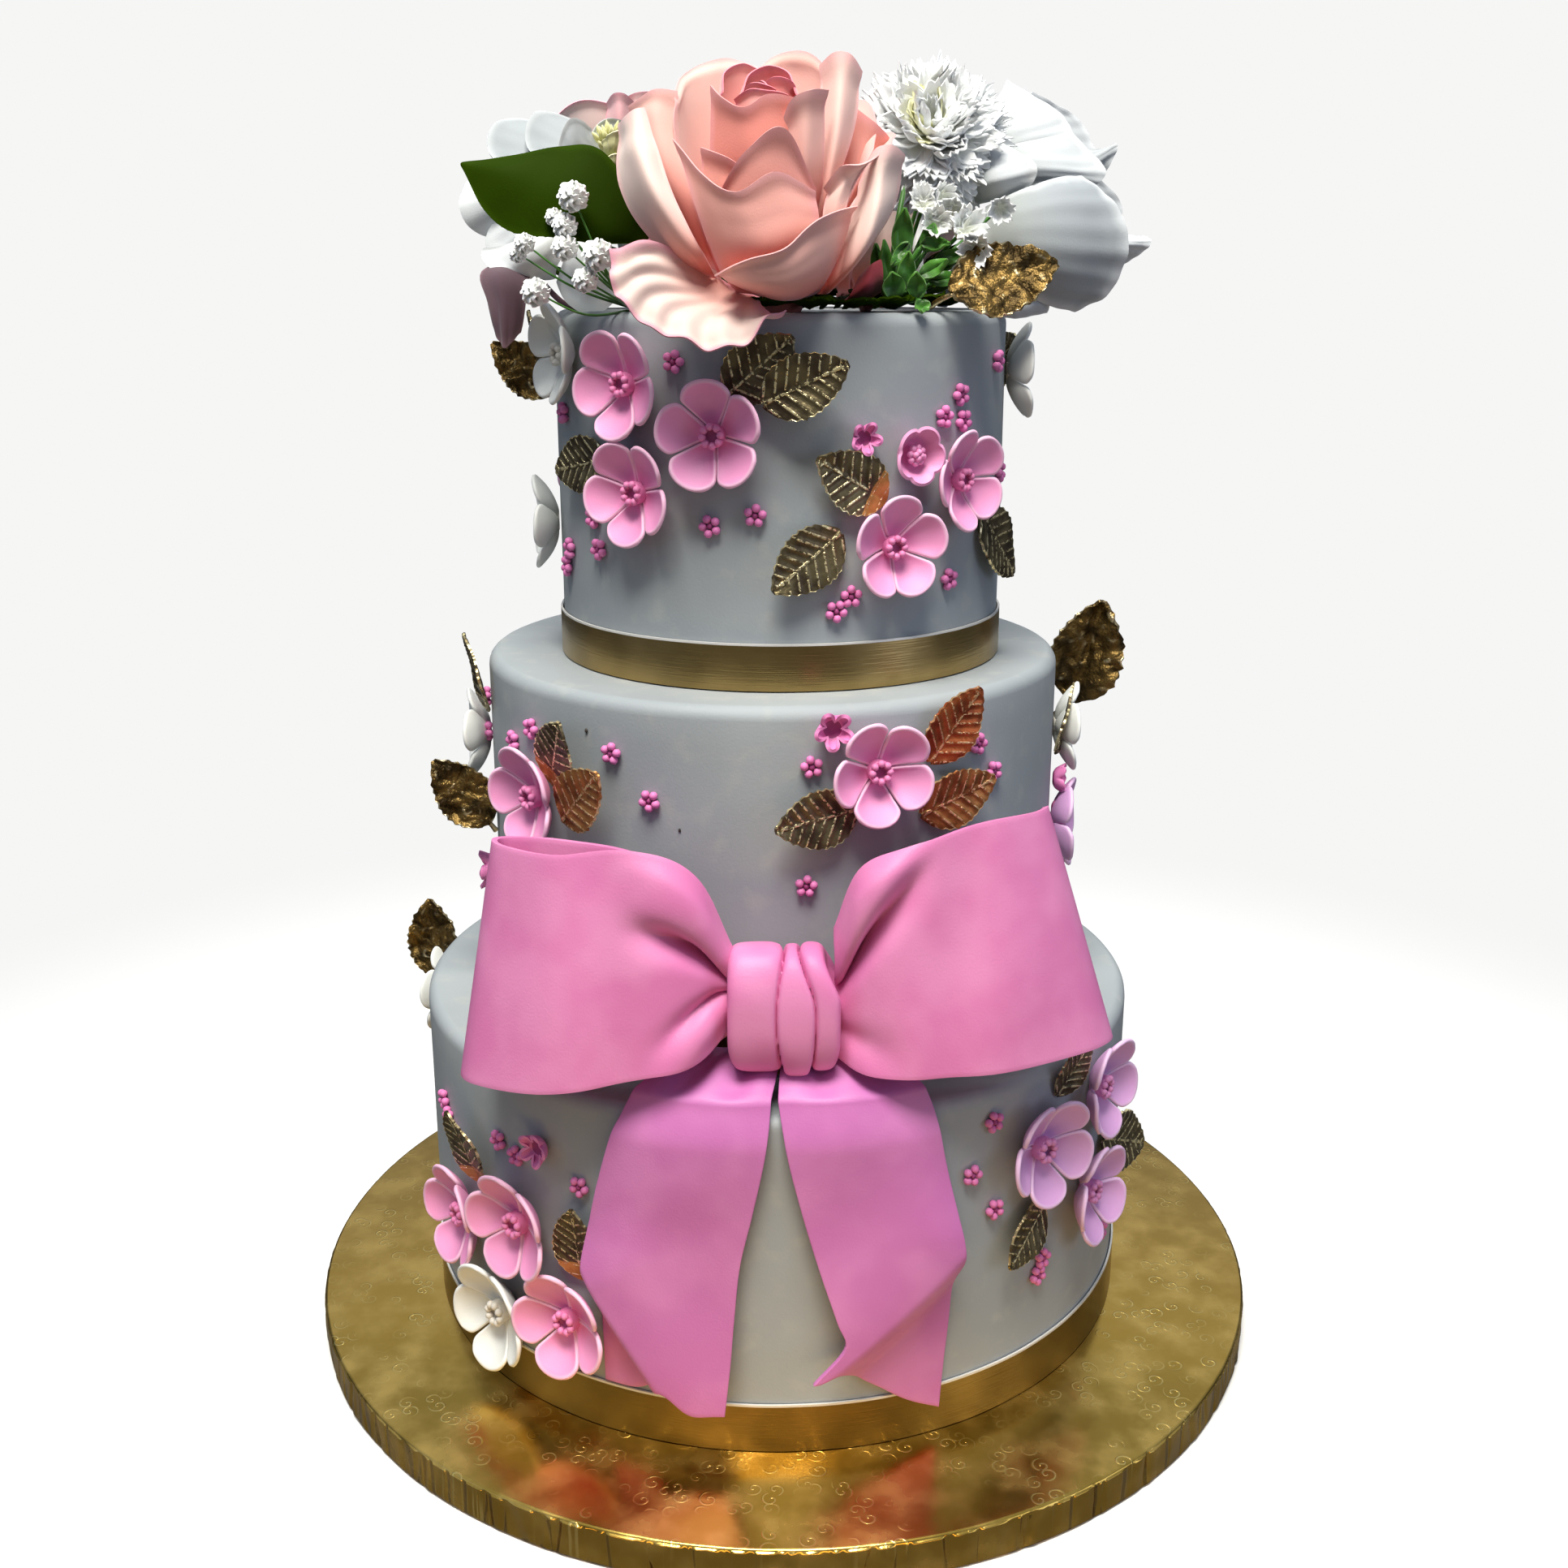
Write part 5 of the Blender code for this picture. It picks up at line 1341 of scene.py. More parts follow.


# The rose and heart cloths are darker at the foot and in their deep tone: partly dye, partly painted shade
# deep in the flower.
ROSE_CLOTH = petal_cloth("rose_satin", "#cc5b4b", "#d97b6e", "#e9cfc5", "#e3a0a8", 0.5)
HEART_CLOTH = petal_cloth("rose_heart_satin", "#dc6a6c", "#e98f8b", "#f3b9b2", "#dd7a90", 0.80)
LOW_CLOTH = petal_cloth("rose_low_petal_satin", "#d39a8e", "#d8b4aa", "#d3bfb7", "#d07f9c", 0.75)
REAR_CLOTH = petal_cloth("rear_rose_satin", "#b8667a", "#cf8394", "#eecdc9", "#dd93a4", 0.7)
WHITE_CLOTH = petal_cloth("white_satin", "#dcdfca", "#e8ebec", "#f3f5f5", "#f6f8f8", 0.5)
# A grey copy of the white satin for the right peony: painted shade.
BLOOM_CLOTH_PAINTED_SHADE = petal_cloth("white_bloom_painted_shade_satin", "#9fa5a2", "#868d93", "#c5cacd", "#dfe3e5", 0.6)
# A grey copy of the white satin for the left bloom: painted shade.
LEFT_CLOTH_PAINTED_SHADE = petal_cloth("white_left_bloom_painted_shade_satin", "#b4bab4", "#8f969a", "#dfe4e6", "#c9ced0", 0.5)
# The rear petal's own pale pink, made paler still: painted light for light shining through the petal from
# behind.
PALE_CLOTH_PAINTED_LIGHT = petal_cloth("rear_pale_petal_painted_light_satin", "#f0c4bc", "#f4d2ca", "#f9e0da", "#ea96b0", 0.7)
STAMEN_CLOTH = petal_cloth("yellow_satin", "#b4b964", "#d3d084", "#e0dfae", "#e6e6c4")
# A very dark mauve: partly the petal's dusty mauve, partly painted shade for a petal lying in shadow behind
# the flowers.
MAUVE_CLOTH_PAINTED_SHADE = petal_cloth("mauve_painted_shade_satin", "#43303a", "#6a4d58", "#7d5f69", "#937079")
RED_CLOTH = petal_cloth("red_bud_satin", "#5a1620", "#8d2634", "#a83c48", "#b04450")
LEAF_CLOTH = petal_cloth("green_leaf_cloth", "#172500", "#1d2e00", "#273b03", "#304804", 0.5, 0.60, 0.0)
# The leaves are dull: a gloss would grey their deep green.
LEAF_CLOTH.node_tree.nodes["Principled BSDF"].inputs["Specular IOR Level"].default_value = 0.02
SPRIG_CLOTH = petal_cloth("green_sprig_cloth", "#20480f", "#35701a", "#4b8a28", "#5c9a34", 0.5, 0.42)

# %% Cloth petals
def petal(name, rows, tone=0.5, roll=0.0, ruffle=0.0, ribs=0, rib_depth=0.0, faces=(24, 22), thick=0.0005,
          round_off=0.0):
    """A petal through rows of key points, from its foot to its rim.

    Its rim rolls over by roll and wanders by ruffle, and ribs fan out from its foot, in mm.
    """
    rows = [[seen(*key) for key in row] for row in rows]

    def place(u, v):
        across = [curve_through(row, (u + 1) / 2) for row in rows]
        return curve_through(across, v * (1 - round_off * abs(u) ** 4))

    piece = sheet(name, faces[0], faces[1], place, tone)
    return press(piece, faces, roll, ruffle, ribs, rib_depth, thick)


def press(piece, faces, roll, ruffle, ribs=0, rib_depth=0.0, thick=0.0005):
    """Push a flat-drawn petal along its normals: rolled rim, wavy edge and pressed ribs."""
    normals = [vertex.normal.copy() for vertex in piece.data.vertices]
    for i, (vertex, normal) in enumerate(zip(piece.data.vertices, normals)):
        u = 2 * (i % (faces[0] + 1)) / faces[0] - 1
        v = (i // (faces[0] + 1)) / faces[1]
        edge = max(ease(v, 0.62, 1.0), 0.7 * ease(abs(u), 0.75, 1.0) * v)
        push = roll * max(ease(v, 0.80, 1.0), 0.6 * ease(abs(u), 0.86, 1.0) * v) ** 2
        push += ruffle * edge * noise.noise(vertex.co * 95)
        push += 0.35 * noise.noise(vertex.co * 60)
        if ribs:
            fan = math.sin(u * ribs * math.pi + 2 * noise.noise((v * 2, u, 1)))
            push += rib_depth * fan * ease(v, 0.1, 0.9)
        vertex.co += normal * push * MM
    modify(piece, "SOLIDIFY", thickness=thick, offset=0.0)
    bpy.ops.object.shade_smooth()
    return piece


def flower_of(name, petals, material, slot, *nodes):
    """Join petals into one flower with one cloth."""
    dress(join(petals, name), name, 60, material, slot, *nodes)

# %% [markdown]
# ## The front rose
# Its petals stand in nested cups that lean towards the viewer: each cup further in stands
# higher. The outermost left and right petals open wide, and their rims roll back.

# %% Front rose
# A petal's tone is low on the petals deep inside the rose and high on the outer ones: partly the dye, partly
# painted shade.
ROSE_PETALS = (                        # name, tone, roll, ruffle, then rows of key points
    ("back_left", 0.80, -1.6, 1.2, (
        ((700, 600, -62), (730, 600, -58), (760, 600, -56), (790, 600, -54)),
        ((612, 400, -72), (650, 380, -60), (720, 360, -52), (790, 350, -48)),
        ((584, 240, -71), (618, 170, -60), (705, 150, -49), (800, 150, -45)),
        ((590, 152, -68), (630, 92, -57), (712, 62, -47), (800, 84, -43)))),
    ("back_right", 0.60, -1.6, 1.2, (
        ((760, 600, -54), (810, 600, -54), (860, 600, -56), (900, 600, -58)),
        ((780, 350, -46), (850, 340, -46), (910, 340, -50), (960, 360, -56)),
        ((785, 150, -43), (850, 120, -42), (920, 130, -47), (978, 170, -55)),
        ((788, 92, -43), (838, 56, -43), (905, 50, -47), (964, 110, -54)))),
    ("right_rolled", 0.75, 2.2, 0.8, (
        ((880, 600, -66), (905, 600, -68), (930, 600, -66)),
        ((930, 400, -72), (955, 400, -78), (975, 390, -72)),
        ((936, 220, -68), (985, 210, -76), (1024, 230, -68)),
        ((955, 88, -62), (995, 58, -68), (1030, 100, -64)))),
    ("right_deep", 0.30, 1.0, 0.8, (
        ((920, 600, -56), (950, 600, -56), (980, 590, -54)),
        ((975, 420, -62), (1020, 400, -62), (1065, 400, -56)),
        ((1016, 175, -58), (1072, 222, -60), (1112, 270, -54)))),
    ("left_second", 0.55, 1.4, 1.0, (
        ((650, 580, -66), (670, 580, -68), (690, 590, -66)),
        ((520, 380, -66), (570, 380, -74), (632, 420, -74)),
        ((478, 240, -62), (530, 220, -70), (590, 262, -70)),
        ((482, 188, -60), (535, 148, -66), (590, 150, -66)))),
    ("inner_star", 0.10, 1.2, 0.6, (
        ((700, 560, -68), (740, 560, -70), (780, 560, -72), (820, 560, -72), (860, 560, -70)),
        ((672, 350, -76), (720, 345, -80), (775, 340, -83), (830, 340, -82), (885, 350, -79)),
        ((680, 132, -75), (716, 166, -80), (757, 184, -83), (812, 152, -82), (888, 164, -79)))),
    ("inner_right", 0.55, 2.0, 0.6, (
        ((840, 560, -68), (885, 560, -71), (925, 540, -68)),
        ((855, 360, -80), (905, 350, -84), (947, 340, -78)),
        ((866, 208, -80), (903, 146, -84), (948, 142, -78)))),
    ("second_left", 0.25, 1.6, 0.6, (
        ((690, 600, -74), (730, 600, -76), (770, 600, -76)),
        ((648, 440, -82), (700, 450, -85), (745, 460, -85)),
        ((655, 284, -82), (700, 300, -86), (740, 326, -86)))),
    ("second_front", 0.26, 1.4, 0.8, (
        ((720, 600, -74), (780, 600, -78), (840, 600, -78), (900, 590, -74)),
        ((700, 480, -84), (770, 450, -89), (850, 440, -89), (928, 460, -84)),
        ((708, 378, -86), (770, 282, -91), (850, 236, -91), (922, 385, -84)))),
    ("front", 0.36, 1.2, 0.8, (
        ((735, 640, -74), (780, 645, -77), (830, 648, -78), (880, 635, -77), (915, 612, -73)),
        ((690, 575, -86), (745, 560, -92), (815, 555, -95), (885, 530, -93), (935, 505, -86)),
        ((640, 440, -90), (700, 460, -94), (775, 465, -97), (865, 440, -95), (936, 455, -87)),
        ((586, 262, -88), (660, 350, -93), (737, 394, -96), (826, 346, -95), (924, 392, -87)))),
    ("left_outer", 1.00, 1.6, 1.4, (
        ((655, 598, -76), (672, 602, -78), (686, 606, -76)),
        ((560, 545, -82), (610, 540, -90), (654, 545, -88)),
        ((468, 430, -80), (540, 420, -94), (610, 470, -90)),
        ((442, 320, -74), (495, 300, -90), (552, 336, -86)),
        ((460, 232, -70), (484, 200, -80), (508, 190, -80)))),
    ("right_curled", 0.80, 3.0, 0.8, (
        ((930, 600, -74), (950, 600, -76), (968, 590, -76)),
        ((945, 500, -82), (970, 490, -86), (995, 480, -86)),
        ((955, 425, -82), (985, 405, -88), (1020, 385, -86)),
        ((970, 394, -82), (1018, 330, -88), (1072, 290, -84)))),
    ("right_outer", 0.95, 1.4, 1.4, (
        ((935, 645, -70), (962, 640, -73), (985, 605, -70)),
        ((985, 562, -80), (1035, 560, -89), (1082, 500, -80)),
        ((1015, 460, -80), (1075, 450, -91), (1132, 400, -78)),
        ((1052, 378, -80), (1096, 286, -84), (1132, 302, -78)))),
    ("front_low", 0.48, 1.8, 1.2, (
        ((770, 640, -74), (805, 652, -76), (850, 660, -77), (895, 655, -76), (935, 640, -72)),
        ((720, 615, -88), (780, 630, -96), (855, 640, -98), (925, 612, -94), (972, 580, -83)),
        ((702, 600, -93), (778, 596, -101), (860, 586, -103), (935, 540, -98), (1002, 500, -85)),
        ((686, 588, -94), (768, 556, -102), (852, 530, -104), (925, 460, -99), (1024, 424, -86)))),
)

rose = [petal(f"rose_{name}", rows, tone, roll, ruffle, faces=(30, 28))
        for name, tone, roll, ruffle, rows in ROSE_PETALS]


def cupped(name, frame_at, turn, wide, foot, top, high, drop, roll, ruffle, tone, faces=(22, 18), flare=0.0):
    """A petal of a cup: turned to an angle, with its radii and heights in mm, then pressed."""
    def place(u, v):
        angle = math.radians(turn + wide * u * (0.45 + 0.55 * math.sin(math.pi * (0.12 + 0.62 * v))))
        out = (foot + (top - foot) * v ** 0.65 + flare * v ** 4) * MM
        up = (high * v * (1 - drop * abs(u) ** 2.4)) * MM
        return frame_at @ Vector((out * math.sin(angle), -out * math.cos(angle), up))
    return press(sheet(name, faces[0], faces[1], place, tone), faces, roll, ruffle)


def leaning(place, towards, lean):
    """A frame at a point, with its +Z leaned over towards an angle from the front."""
    return (Matrix.Translation(place) @ Matrix.Rotation(math.radians(towards), 4, "Z")
            @ Matrix.Rotation(math.radians(lean), 4, "X"))


# The heart's folds: arches behind, a domed fold, and small furled ones inside it.
# The furled folds and buds inside get the lowest tones: partly painted shade deep in the heart.
HEART_FOLDS = (                        # name, tone, then rows of key points
    ("left_arch", 0.75, (
        ((715, 300, -68), (740, 300, -62), (770, 300, -60), (800, 300, -60)),
        ((690, 205, -71), (706, 180, -65), (755, 168, -60), (800, 180, -59)),
        ((692, 146, -71), (700, 98, -67), (748, 76, -61), (802, 96, -60)))),
    ("dome", 0.35, (
        ((740, 300, -70), (780, 300, -65), (815, 300, -63), (850, 300, -65), (880, 300, -70)),
        ((728, 210, -73), (762, 190, -67), (815, 182, -64), (866, 190, -67), (898, 210, -73)),
        ((734, 160, -74), (758, 104, -69), (814, 80, -66), (872, 100, -69), (894, 156, -74)))),
    ("furled_right", 0.05, (
        ((795, 300, -69), (820, 300, -71), (850, 300, -71), (870, 300, -69)),
        ((801, 200, -71), (825, 196, -73), (854, 196, -73), (878, 202, -70)),
        ((800, 142, -71), (824, 112, -73), (858, 116, -73), (880, 152, -69)))),
    ("furled_left", 0.25, (
        ((765, 300, -69), (785, 300, -71), (810, 300, -71), (835, 300, -69)),
        ((760, 200, -71), (785, 196, -73), (814, 196, -73), (840, 202, -70)),
        ((752, 148, -70), (778, 124, -73), (812, 130, -74), (842, 152, -71)))),
    ("front_fold", 0.60, (
        ((740, 300, -74), (770, 300, -77), (800, 300, -78), (835, 300, -77), (865, 300, -73)),
        ((740, 216, -75), (772, 210, -78), (808, 208, -79), (846, 212, -78), (878, 222, -74)),
        ((738, 166, -74), (768, 140, -78), (806, 142, -79), (848, 150, -78), (884, 176, -73)))),
)
heart = [petal(f"heart_{name}", rows, tone, 1.0, 0.8, faces=(26, 20)) for name, tone, rows in HEART_FOLDS]
# angle, half a bud's angle, top radius and height in mm, tone
HEART_BUDS = ((150, 85, 4.2, 15.5, 0.4), (-60, 80, 2.8, 14.6, 0.2), (40, 100, 1.6, 14.2, 0.1))
heart_at = leaning(seen(820, 250, -69), 0, 8)
for turn, wide, top, high, tone in HEART_BUDS:
    heart.append(cupped(f"heart_bud_{turn}", heart_at, turn, wide, top * 0.8, top, high, 0.25, 0.5, 0.6, tone,
                        (16, 12)))
# angle, top radius and height in mm
BEHIND_PETALS = ((120, 33, 50), (172, 30, 54), (228, 34, 50), (95, 38, 42), (255, 38, 42))
rose_at = leaning(seen(800, 600, -54), 0, 10)
behind = [cupped(f"rose_behind_{i}", rose_at, turn, 42, 8, top, high, 0.25, 1.6, 1.2, 0.7)
          for i, (turn, top, high) in enumerate(BEHIND_PETALS)]
calyx = stalk("rose_foot", [seen(840, 690, -50), seen(840, 655, -58), seen(835, 600, -62)],
              0.0060, 0.0100, 16)
flower_of("rose_front_petals", rose + behind + [calyx], ROSE_CLOTH, "cloth_salmon", "rose_front")
flower_of("rose_front_heart", heart, HEART_CLOTH, "cloth_salmon")

# %% Low petal
low = petal("rose_low", (
    ((700, 612, -72), (720, 625, -72), (740, 635, -72), (765, 645, -72), (790, 655, -72)),
    ((600, 545, -84), (600, 610, -87), (645, 662, -87), (712, 682, -87), (800, 676, -84)),
    ((515, 518, -90), (500, 600, -95), (560, 682, -97), (680, 728, -97), (832, 700, -90)),
    ((426, 545, -90), (436, 645, -98), (545, 742, -102), (700, 778, -102), (860, 690, -92))),
    0.8, -0.6, 3.0, 6.5, 1.2, (72, 34))
flower_of("rose_low_petal_cloth", [low], LOW_CLOTH, "cloth_salmon", "rose_low_petal")
print("front rose:", len(rose) + len(behind) + len(heart), "petals")

# %% [markdown]
# ## The roses behind
# Two smaller roses fill the middle and the back. They are built as rings of cupped petals
# round a furled heart, because the picture shows only their rims.

# %% Rear roses
# in each ring: petals, share of the radius and of the height, half a petal's angle, flare in mm
ROSE_RINGS = ((5, 0.80, 0.66, 46, 6.0), (5, 0.76, 0.80, 44, 4.0), (5, 0.62, 0.91, 44, 2.5),
              (4, 0.46, 0.97, 52, 1.2), (3, 0.30, 1.00, 64, 0.5), (2, 0.15, 0.98, 100, 0.0))


# The inner rings get deeper tones: partly painted shade deep in the rose.
def whole_rose(name, frame_at, radius, height, seed):
    """Rings of cupped petals, one inside another, with radius and height in mm."""
    petals = []
    for ring, (count, wide_share, high_share, wide, flare) in enumerate(ROSE_RINGS):
        for i in range(count):
            turn = 360 * (i + 0.5 * (ring % 2)) / count + 15 * noise.noise((seed, ring, i))
            petals.append(cupped(f"{name}_{ring}_{i}", frame_at, turn, wide, radius * wide_share * 0.45,
                                 radius * wide_share, height * high_share, 0.22, 1.6, 1.4,
                                 0.95 - 0.15 * ring, (16, 14), flare))
    return petals


# The rear rose's pale outer petal and two furled ones show behind the left bloom.
REAR_PETALS = (                        # name, tone, ruffle, then rows of key points
    ("rear_fold_a", 0.45, 1.00, (
        ((440, 330, -2), (460, 330, -4), (480, 330, -2)),
        ((414, 236, -2), (446, 226, -8), (476, 236, -4)),
        ((424, 176, -1), (446, 150, -7), (474, 172, -3)))),
    ("rear_fold_b", 0.75, 1.00, (
        ((470, 330, 2), (490, 330, 0), (510, 330, 2)),
        ((448, 228, 2), (490, 214, -3), (530, 228, 0)),
        ((446, 184, 3), (484, 152, -2), (532, 146, 1)))),
)
rear = [petal(name, rows, tone, 1.2, ruffle, faces=(20, 18)) for name, tone, ruffle, rows in REAR_PETALS]
rear_outer = petal("rear_outer", (
    ((400, 330, 8), (420, 330, 8), (440, 330, 8)),
    ((294, 256, 5), (360, 240, 2), (436, 244, 5)),
    ((272, 224, 5), (350, 166, 0), (452, 182, 5))), 1.0, 1.2, 0.8, faces=(20, 18))
flower_of("rose_rear_pale_petal", [rear_outer], PALE_CLOTH_PAINTED_LIGHT, "cloth_salmon")
rear.append(stalk("rear_foot", [(-0.0420, 0.0100, 0.3716), (-0.0450, 0.0080, 0.3850), seen(450, 325, 0)],
                  0.0030, 0.0060, 10))
flower_of("rose_rear_outer_petals", rear, REAR_CLOTH, "cloth_salmon")

for name, stem, towards, lean, radius, height in (
        ("rose_rear", (-0.0300, 0.0340, 0.0010), -100, 12, 29.0, 67.0),
        ("rose_back", (0.0300, 0.0400, 0.0020), 150, 18, 29.0, 57.0)):
    at = leaning(Vector(stem) + Vector((0, 0, CAKE_TOP)), towards, lean)
    petals = whole_rose(name, at, radius, height, len(name))
    flower_of(f"{name}_petals", petals, ROSE_CLOTH, "cloth_salmon", name)

# %% [markdown]
# ## White blooms
# The open blooms left and right have broad petals with fine pressed ribs. The left one shows its
# yellow stamens beside the rose, and the right one turns away, so a big petal faces the front.

# %% Left bloom
# The upward petals get low tones, grey, and the low petals high tones, pale: painted shade on the petals that
# face the lamp, painted light on those in shadow.
LEFT_BLOOM = (                         # name, tone, ruffle, then rows of key points
    ("w_top_back", 0.05, 0.80, (
        ((400, 310, -8), (415, 300, -6), (430, 295, -4)),
        ((230, 320, -16), (245, 265, -8), (310, 238, -2)),
        ((110, 322, -10), (138, 232, -2), (216, 214, 4)))),
    ("w_top", 0.05, 0.80, (
        ((400, 315, -14), (420, 305, -12), (435, 298, -10)),
        ((300, 300, -20), (320, 260, -14), (360, 240, -8)),
        ((200, 300, -16), (235, 205, -8), (325, 205, -4)))),
    ("w_mid", 0.15, 0.80, (
        ((400, 325, -24), (420, 315, -24), (430, 305, -22)),
        ((325, 320, -34), (345, 275, -33), (385, 265, -28)),
        ((286, 300, -34), (322, 215, -33), (372, 228, -28)))),
    ("w_behind_yellow", 0.20, 0.70, (
        ((410, 310, -22), (430, 300, -20), (450, 300, -18)),
        ((385, 280, -24), (420, 255, -22), (455, 260, -18)),
        ((370, 248, -24), (412, 214, -22), (470, 216, -16)))),
    ("w_left", 0.90, 1.00, (
        ((400, 340, -16), (408, 325, -14), (415, 310, -12)),
        ((240, 440, -28), (225, 375, -30), (240, 320, -22)),
        ((110, 530, -18), (56, 435, -20), (76, 335, -10)))),
    ("w_low_left", 1.00, 1.00, (
        ((420, 360, -24), (405, 350, -22), (400, 335, -20)),
        ((320, 500, -36), (260, 460, -34), (230, 420, -30)),
        ((250, 580, -28), (150, 560, -26), (95, 500, -20)))),
    ("w_folded", 1.00, 1.40, (
        ((400, 430, -30), (395, 415, -30), (390, 400, -28)),
        ((300, 560, -38), (250, 530, -42), (210, 505, -38)),
        ((290, 612, -34), (170, 606, -40), (78, 542, -32)))),
    ("w_low_right", 1.00, 1.00, (
        ((430, 430, -32), (410, 430, -34), (395, 430, -32)),
        ((420, 560, -40), (370, 560, -42), (320, 540, -40)),
        ((455, 665, -36), (370, 690, -38), (285, 645, -34)))),
    ("w_back_a", 0.40, 1.00, (
        ((420, 330, -2), (430, 320, 2), (440, 310, 4)),
        ((300, 360, 12), (320, 300, 18), (360, 270, 20)),
        ((180, 380, 22), (220, 300, 30), (330, 250, 30)))),
    ("w_back_b", 0.60, 1.00, (
        ((420, 360, -2), (425, 345, 2), (430, 330, 4)),
        ((260, 480, 8), (250, 420, 16), (280, 370, 18)),
        ((130, 560, 16), (110, 460, 24), (160, 380, 26)))),
)
bloom = [petal(name, rows, tone, 0.6, ruffle, 4, 0.10, (26, 22), round_off=0.16)
         for name, tone, ruffle, rows in LEFT_BLOOM]
bloom.append(stalk("bloom_stem", [(-0.0515, -0.0005, 0.3716), (-0.0530, -0.0080, 0.3950),
                                  seen(425, 320, -14)], 0.0022, 0.0040, 10))
flower_of("bloom_left_petals", bloom, LEFT_CLOTH_PAINTED_SHADE, "cloth_white", "bloom_left")

stamens = []
for i in range(26):
    way = Vector((noise.noise((i * 1.3, 0, 0)) * 1.8 - 0.15, -0.75 + noise.noise((0, i * 1.3, 0)),
                  0.55 + 0.7 * noise.noise((0, 0, i * 1.3)))).normalized()
    foot = seen(430, 310, -20) + Vector((0, 0, 0.0006)) * (i % 5)
    tip = foot + way * 0.0115 + Vector((0, 0, 0.001))
    stamens.append(stalk(f"stamen_{i}", [foot, foot + way * 0.006, tip], 0.0007, 0.0011, 6, 5, 0.6))
STAMEN_FRILLS = (
    (((420, 330, -26), (440, 325, -27), (455, 320, -26)), ((408, 290, -30), (430, 285, -32), (458, 285, -30)),
     ((402, 270, -30), (430, 245, -33), (466, 236, -30))),
    (((430, 350, -27), (440, 345, -28), (452, 340, -27)), ((415, 330, -31), (432, 325, -33), (450, 322, -31)),
     ((405, 320, -32), (428, 300, -34), (452, 300, -32))))
for i, rows in enumerate(STAMEN_FRILLS):
    stamens.append(petal(f"stamen_frill_{i}", rows, 0.7, 0.4, 1.0, 4, 0.3, (12, 10)))
flower_of("bloom_left_stamens", stamens, STAMEN_CLOTH, "cloth_white")

# %% Right peony
# The big front petal gets the lowest tone, grey: painted shade.
RIGHT_PEONY = (                        # name, tone, ruffle, then rows of key points
    ("p_back_top", 0.90, 1.20, (
        ((1270, 260, 4), (1280, 300, 2), (1290, 350, 2)),
        ((1370, 170, 4), (1420, 235, -2), (1430, 300, -4)),
        ((1400, 120, 8), (1530, 205, 4), (1570, 268, 0)))),
    ("p_tip", 0.50, 1.00, (
        ((1450, 300, 6), (1460, 350, 4), (1470, 390, 6)),
        ((1560, 292, 4), (1590, 330, 0), (1575, 375, 4)),
        ((1655, 290, 3), (1672, 284, 2), (1628, 368, 4)))),
    ("p_upper", 0.70, 1.20, (
        ((1330, 290, -10), (1330, 340, -12), (1340, 380, -12)),
        ((1450, 272, -14), (1480, 330, -20), (1480, 375, -18)),
        ((1556, 250, -8), (1640, 340, -14), (1600, 380, -14)))),
    ("p_left", 0.80, 1.00, (
        ((1300, 330, -20), (1295, 380, -22), (1300, 430, -20)),
        ((1350, 298, -26), (1370, 360, -33), (1375, 412, -28)),
        ((1388, 274, -24), (1472, 332, -32), (1445, 392, -30)))),
    ("p_big", 0.15, 1.40, (
        ((1350, 430, -28), (1345, 460, -30), (1342, 500, -31), (1340, 540, -30), (1340, 575, -28)),
        ((1430, 392, -32), (1440, 440, -38), (1440, 510, -40), (1435, 580, -38), (1425, 635, -32)),
        ((1530, 358, -30), (1560, 420, -37), (1570, 520, -40), (1550, 612, -37), (1515, 676, -30)),
        ((1582, 358, -25), (1660, 422, -28), (1694, 532, -30), (1655, 630, -28), (1565, 680, -25)))),
    ("p_edge", 0.95, 0.80, (
        ((1590, 495, -8), (1595, 520, -10), (1600, 550, -8)),
        ((1680, 498, -10), (1690, 520, -14), (1672, 556, -10)),
        ((1738, 506, -8), (1752, 522, -10), (1690, 566, -8)))),
    ("p_low", 0.60, 1.00, (
        ((1330, 560, -24), (1380, 570, -24), (1430, 570, -22)),
        ((1340, 650, -32), (1420, 660, -34), (1500, 650, -28)),
        ((1350, 700, -30), (1430, 705, -32), (1500, 690, -26)))),
    ("p_behind_a", 0.80, 1.20, (
        ((1420, 330, 20), (1430, 380, 22), (1440, 430, 20)),
        ((1540, 320, 34), (1570, 400, 40), (1560, 470, 36)),
        ((1600, 330, 42), (1680, 430, 50), (1640, 540, 44)))),
    ("p_behind_b", 0.70, 1.20, (
        ((1400, 460, 16), (1410, 500, 18), (1420, 540, 16)),
        ((1520, 500, 26), (1540, 560, 30), (1520, 610, 26)),
        ((1600, 540, 30), (1620, 610, 34), (1570, 670, 28)))),
    ("p_behind_c", 0.80, 1.20, (
        ((1380, 240, 20), (1400, 280, 24), (1420, 330, 24)),
        ((1440, 170, 30), (1500, 220, 38), (1530, 290, 38)),
        ((1460, 150, 36), (1570, 210, 46), (1620, 300, 46)))),
)
peony = []
for name, tone, ruffle, rows in RIGHT_PEONY:
    ribs, depth = (7, 0.20) if name == "p_big" else (5, 0.12)
    peony.append(petal(name, rows, tone, 0.7, ruffle, ribs, depth, (40, 26)))
peony.append(stalk("peony_stem", [(0.0545, 0.0230, 0.3716), (0.0620, 0.0180, 0.3820), seen(1390, 470, 4)],
                   0.0024, 0.0060, 10))
flower_of("peony_right_petals", peony, BLOOM_CLOTH_PAINTED_SHADE, "cloth_white", "peony_right")

# %% [markdown]
# ## Chrysanthemum
# A ball of 230 short spoon-shaped petals with ragged rims. One petal is modelled in three
# variants and copied over a dome. Each next petal is turned by the golden angle, as a flower
# does it, so they spread evenly, and a little chance tilts each one.

# %% Ragged petal
GOLDEN_ANGLE = 2.399963                    # radians


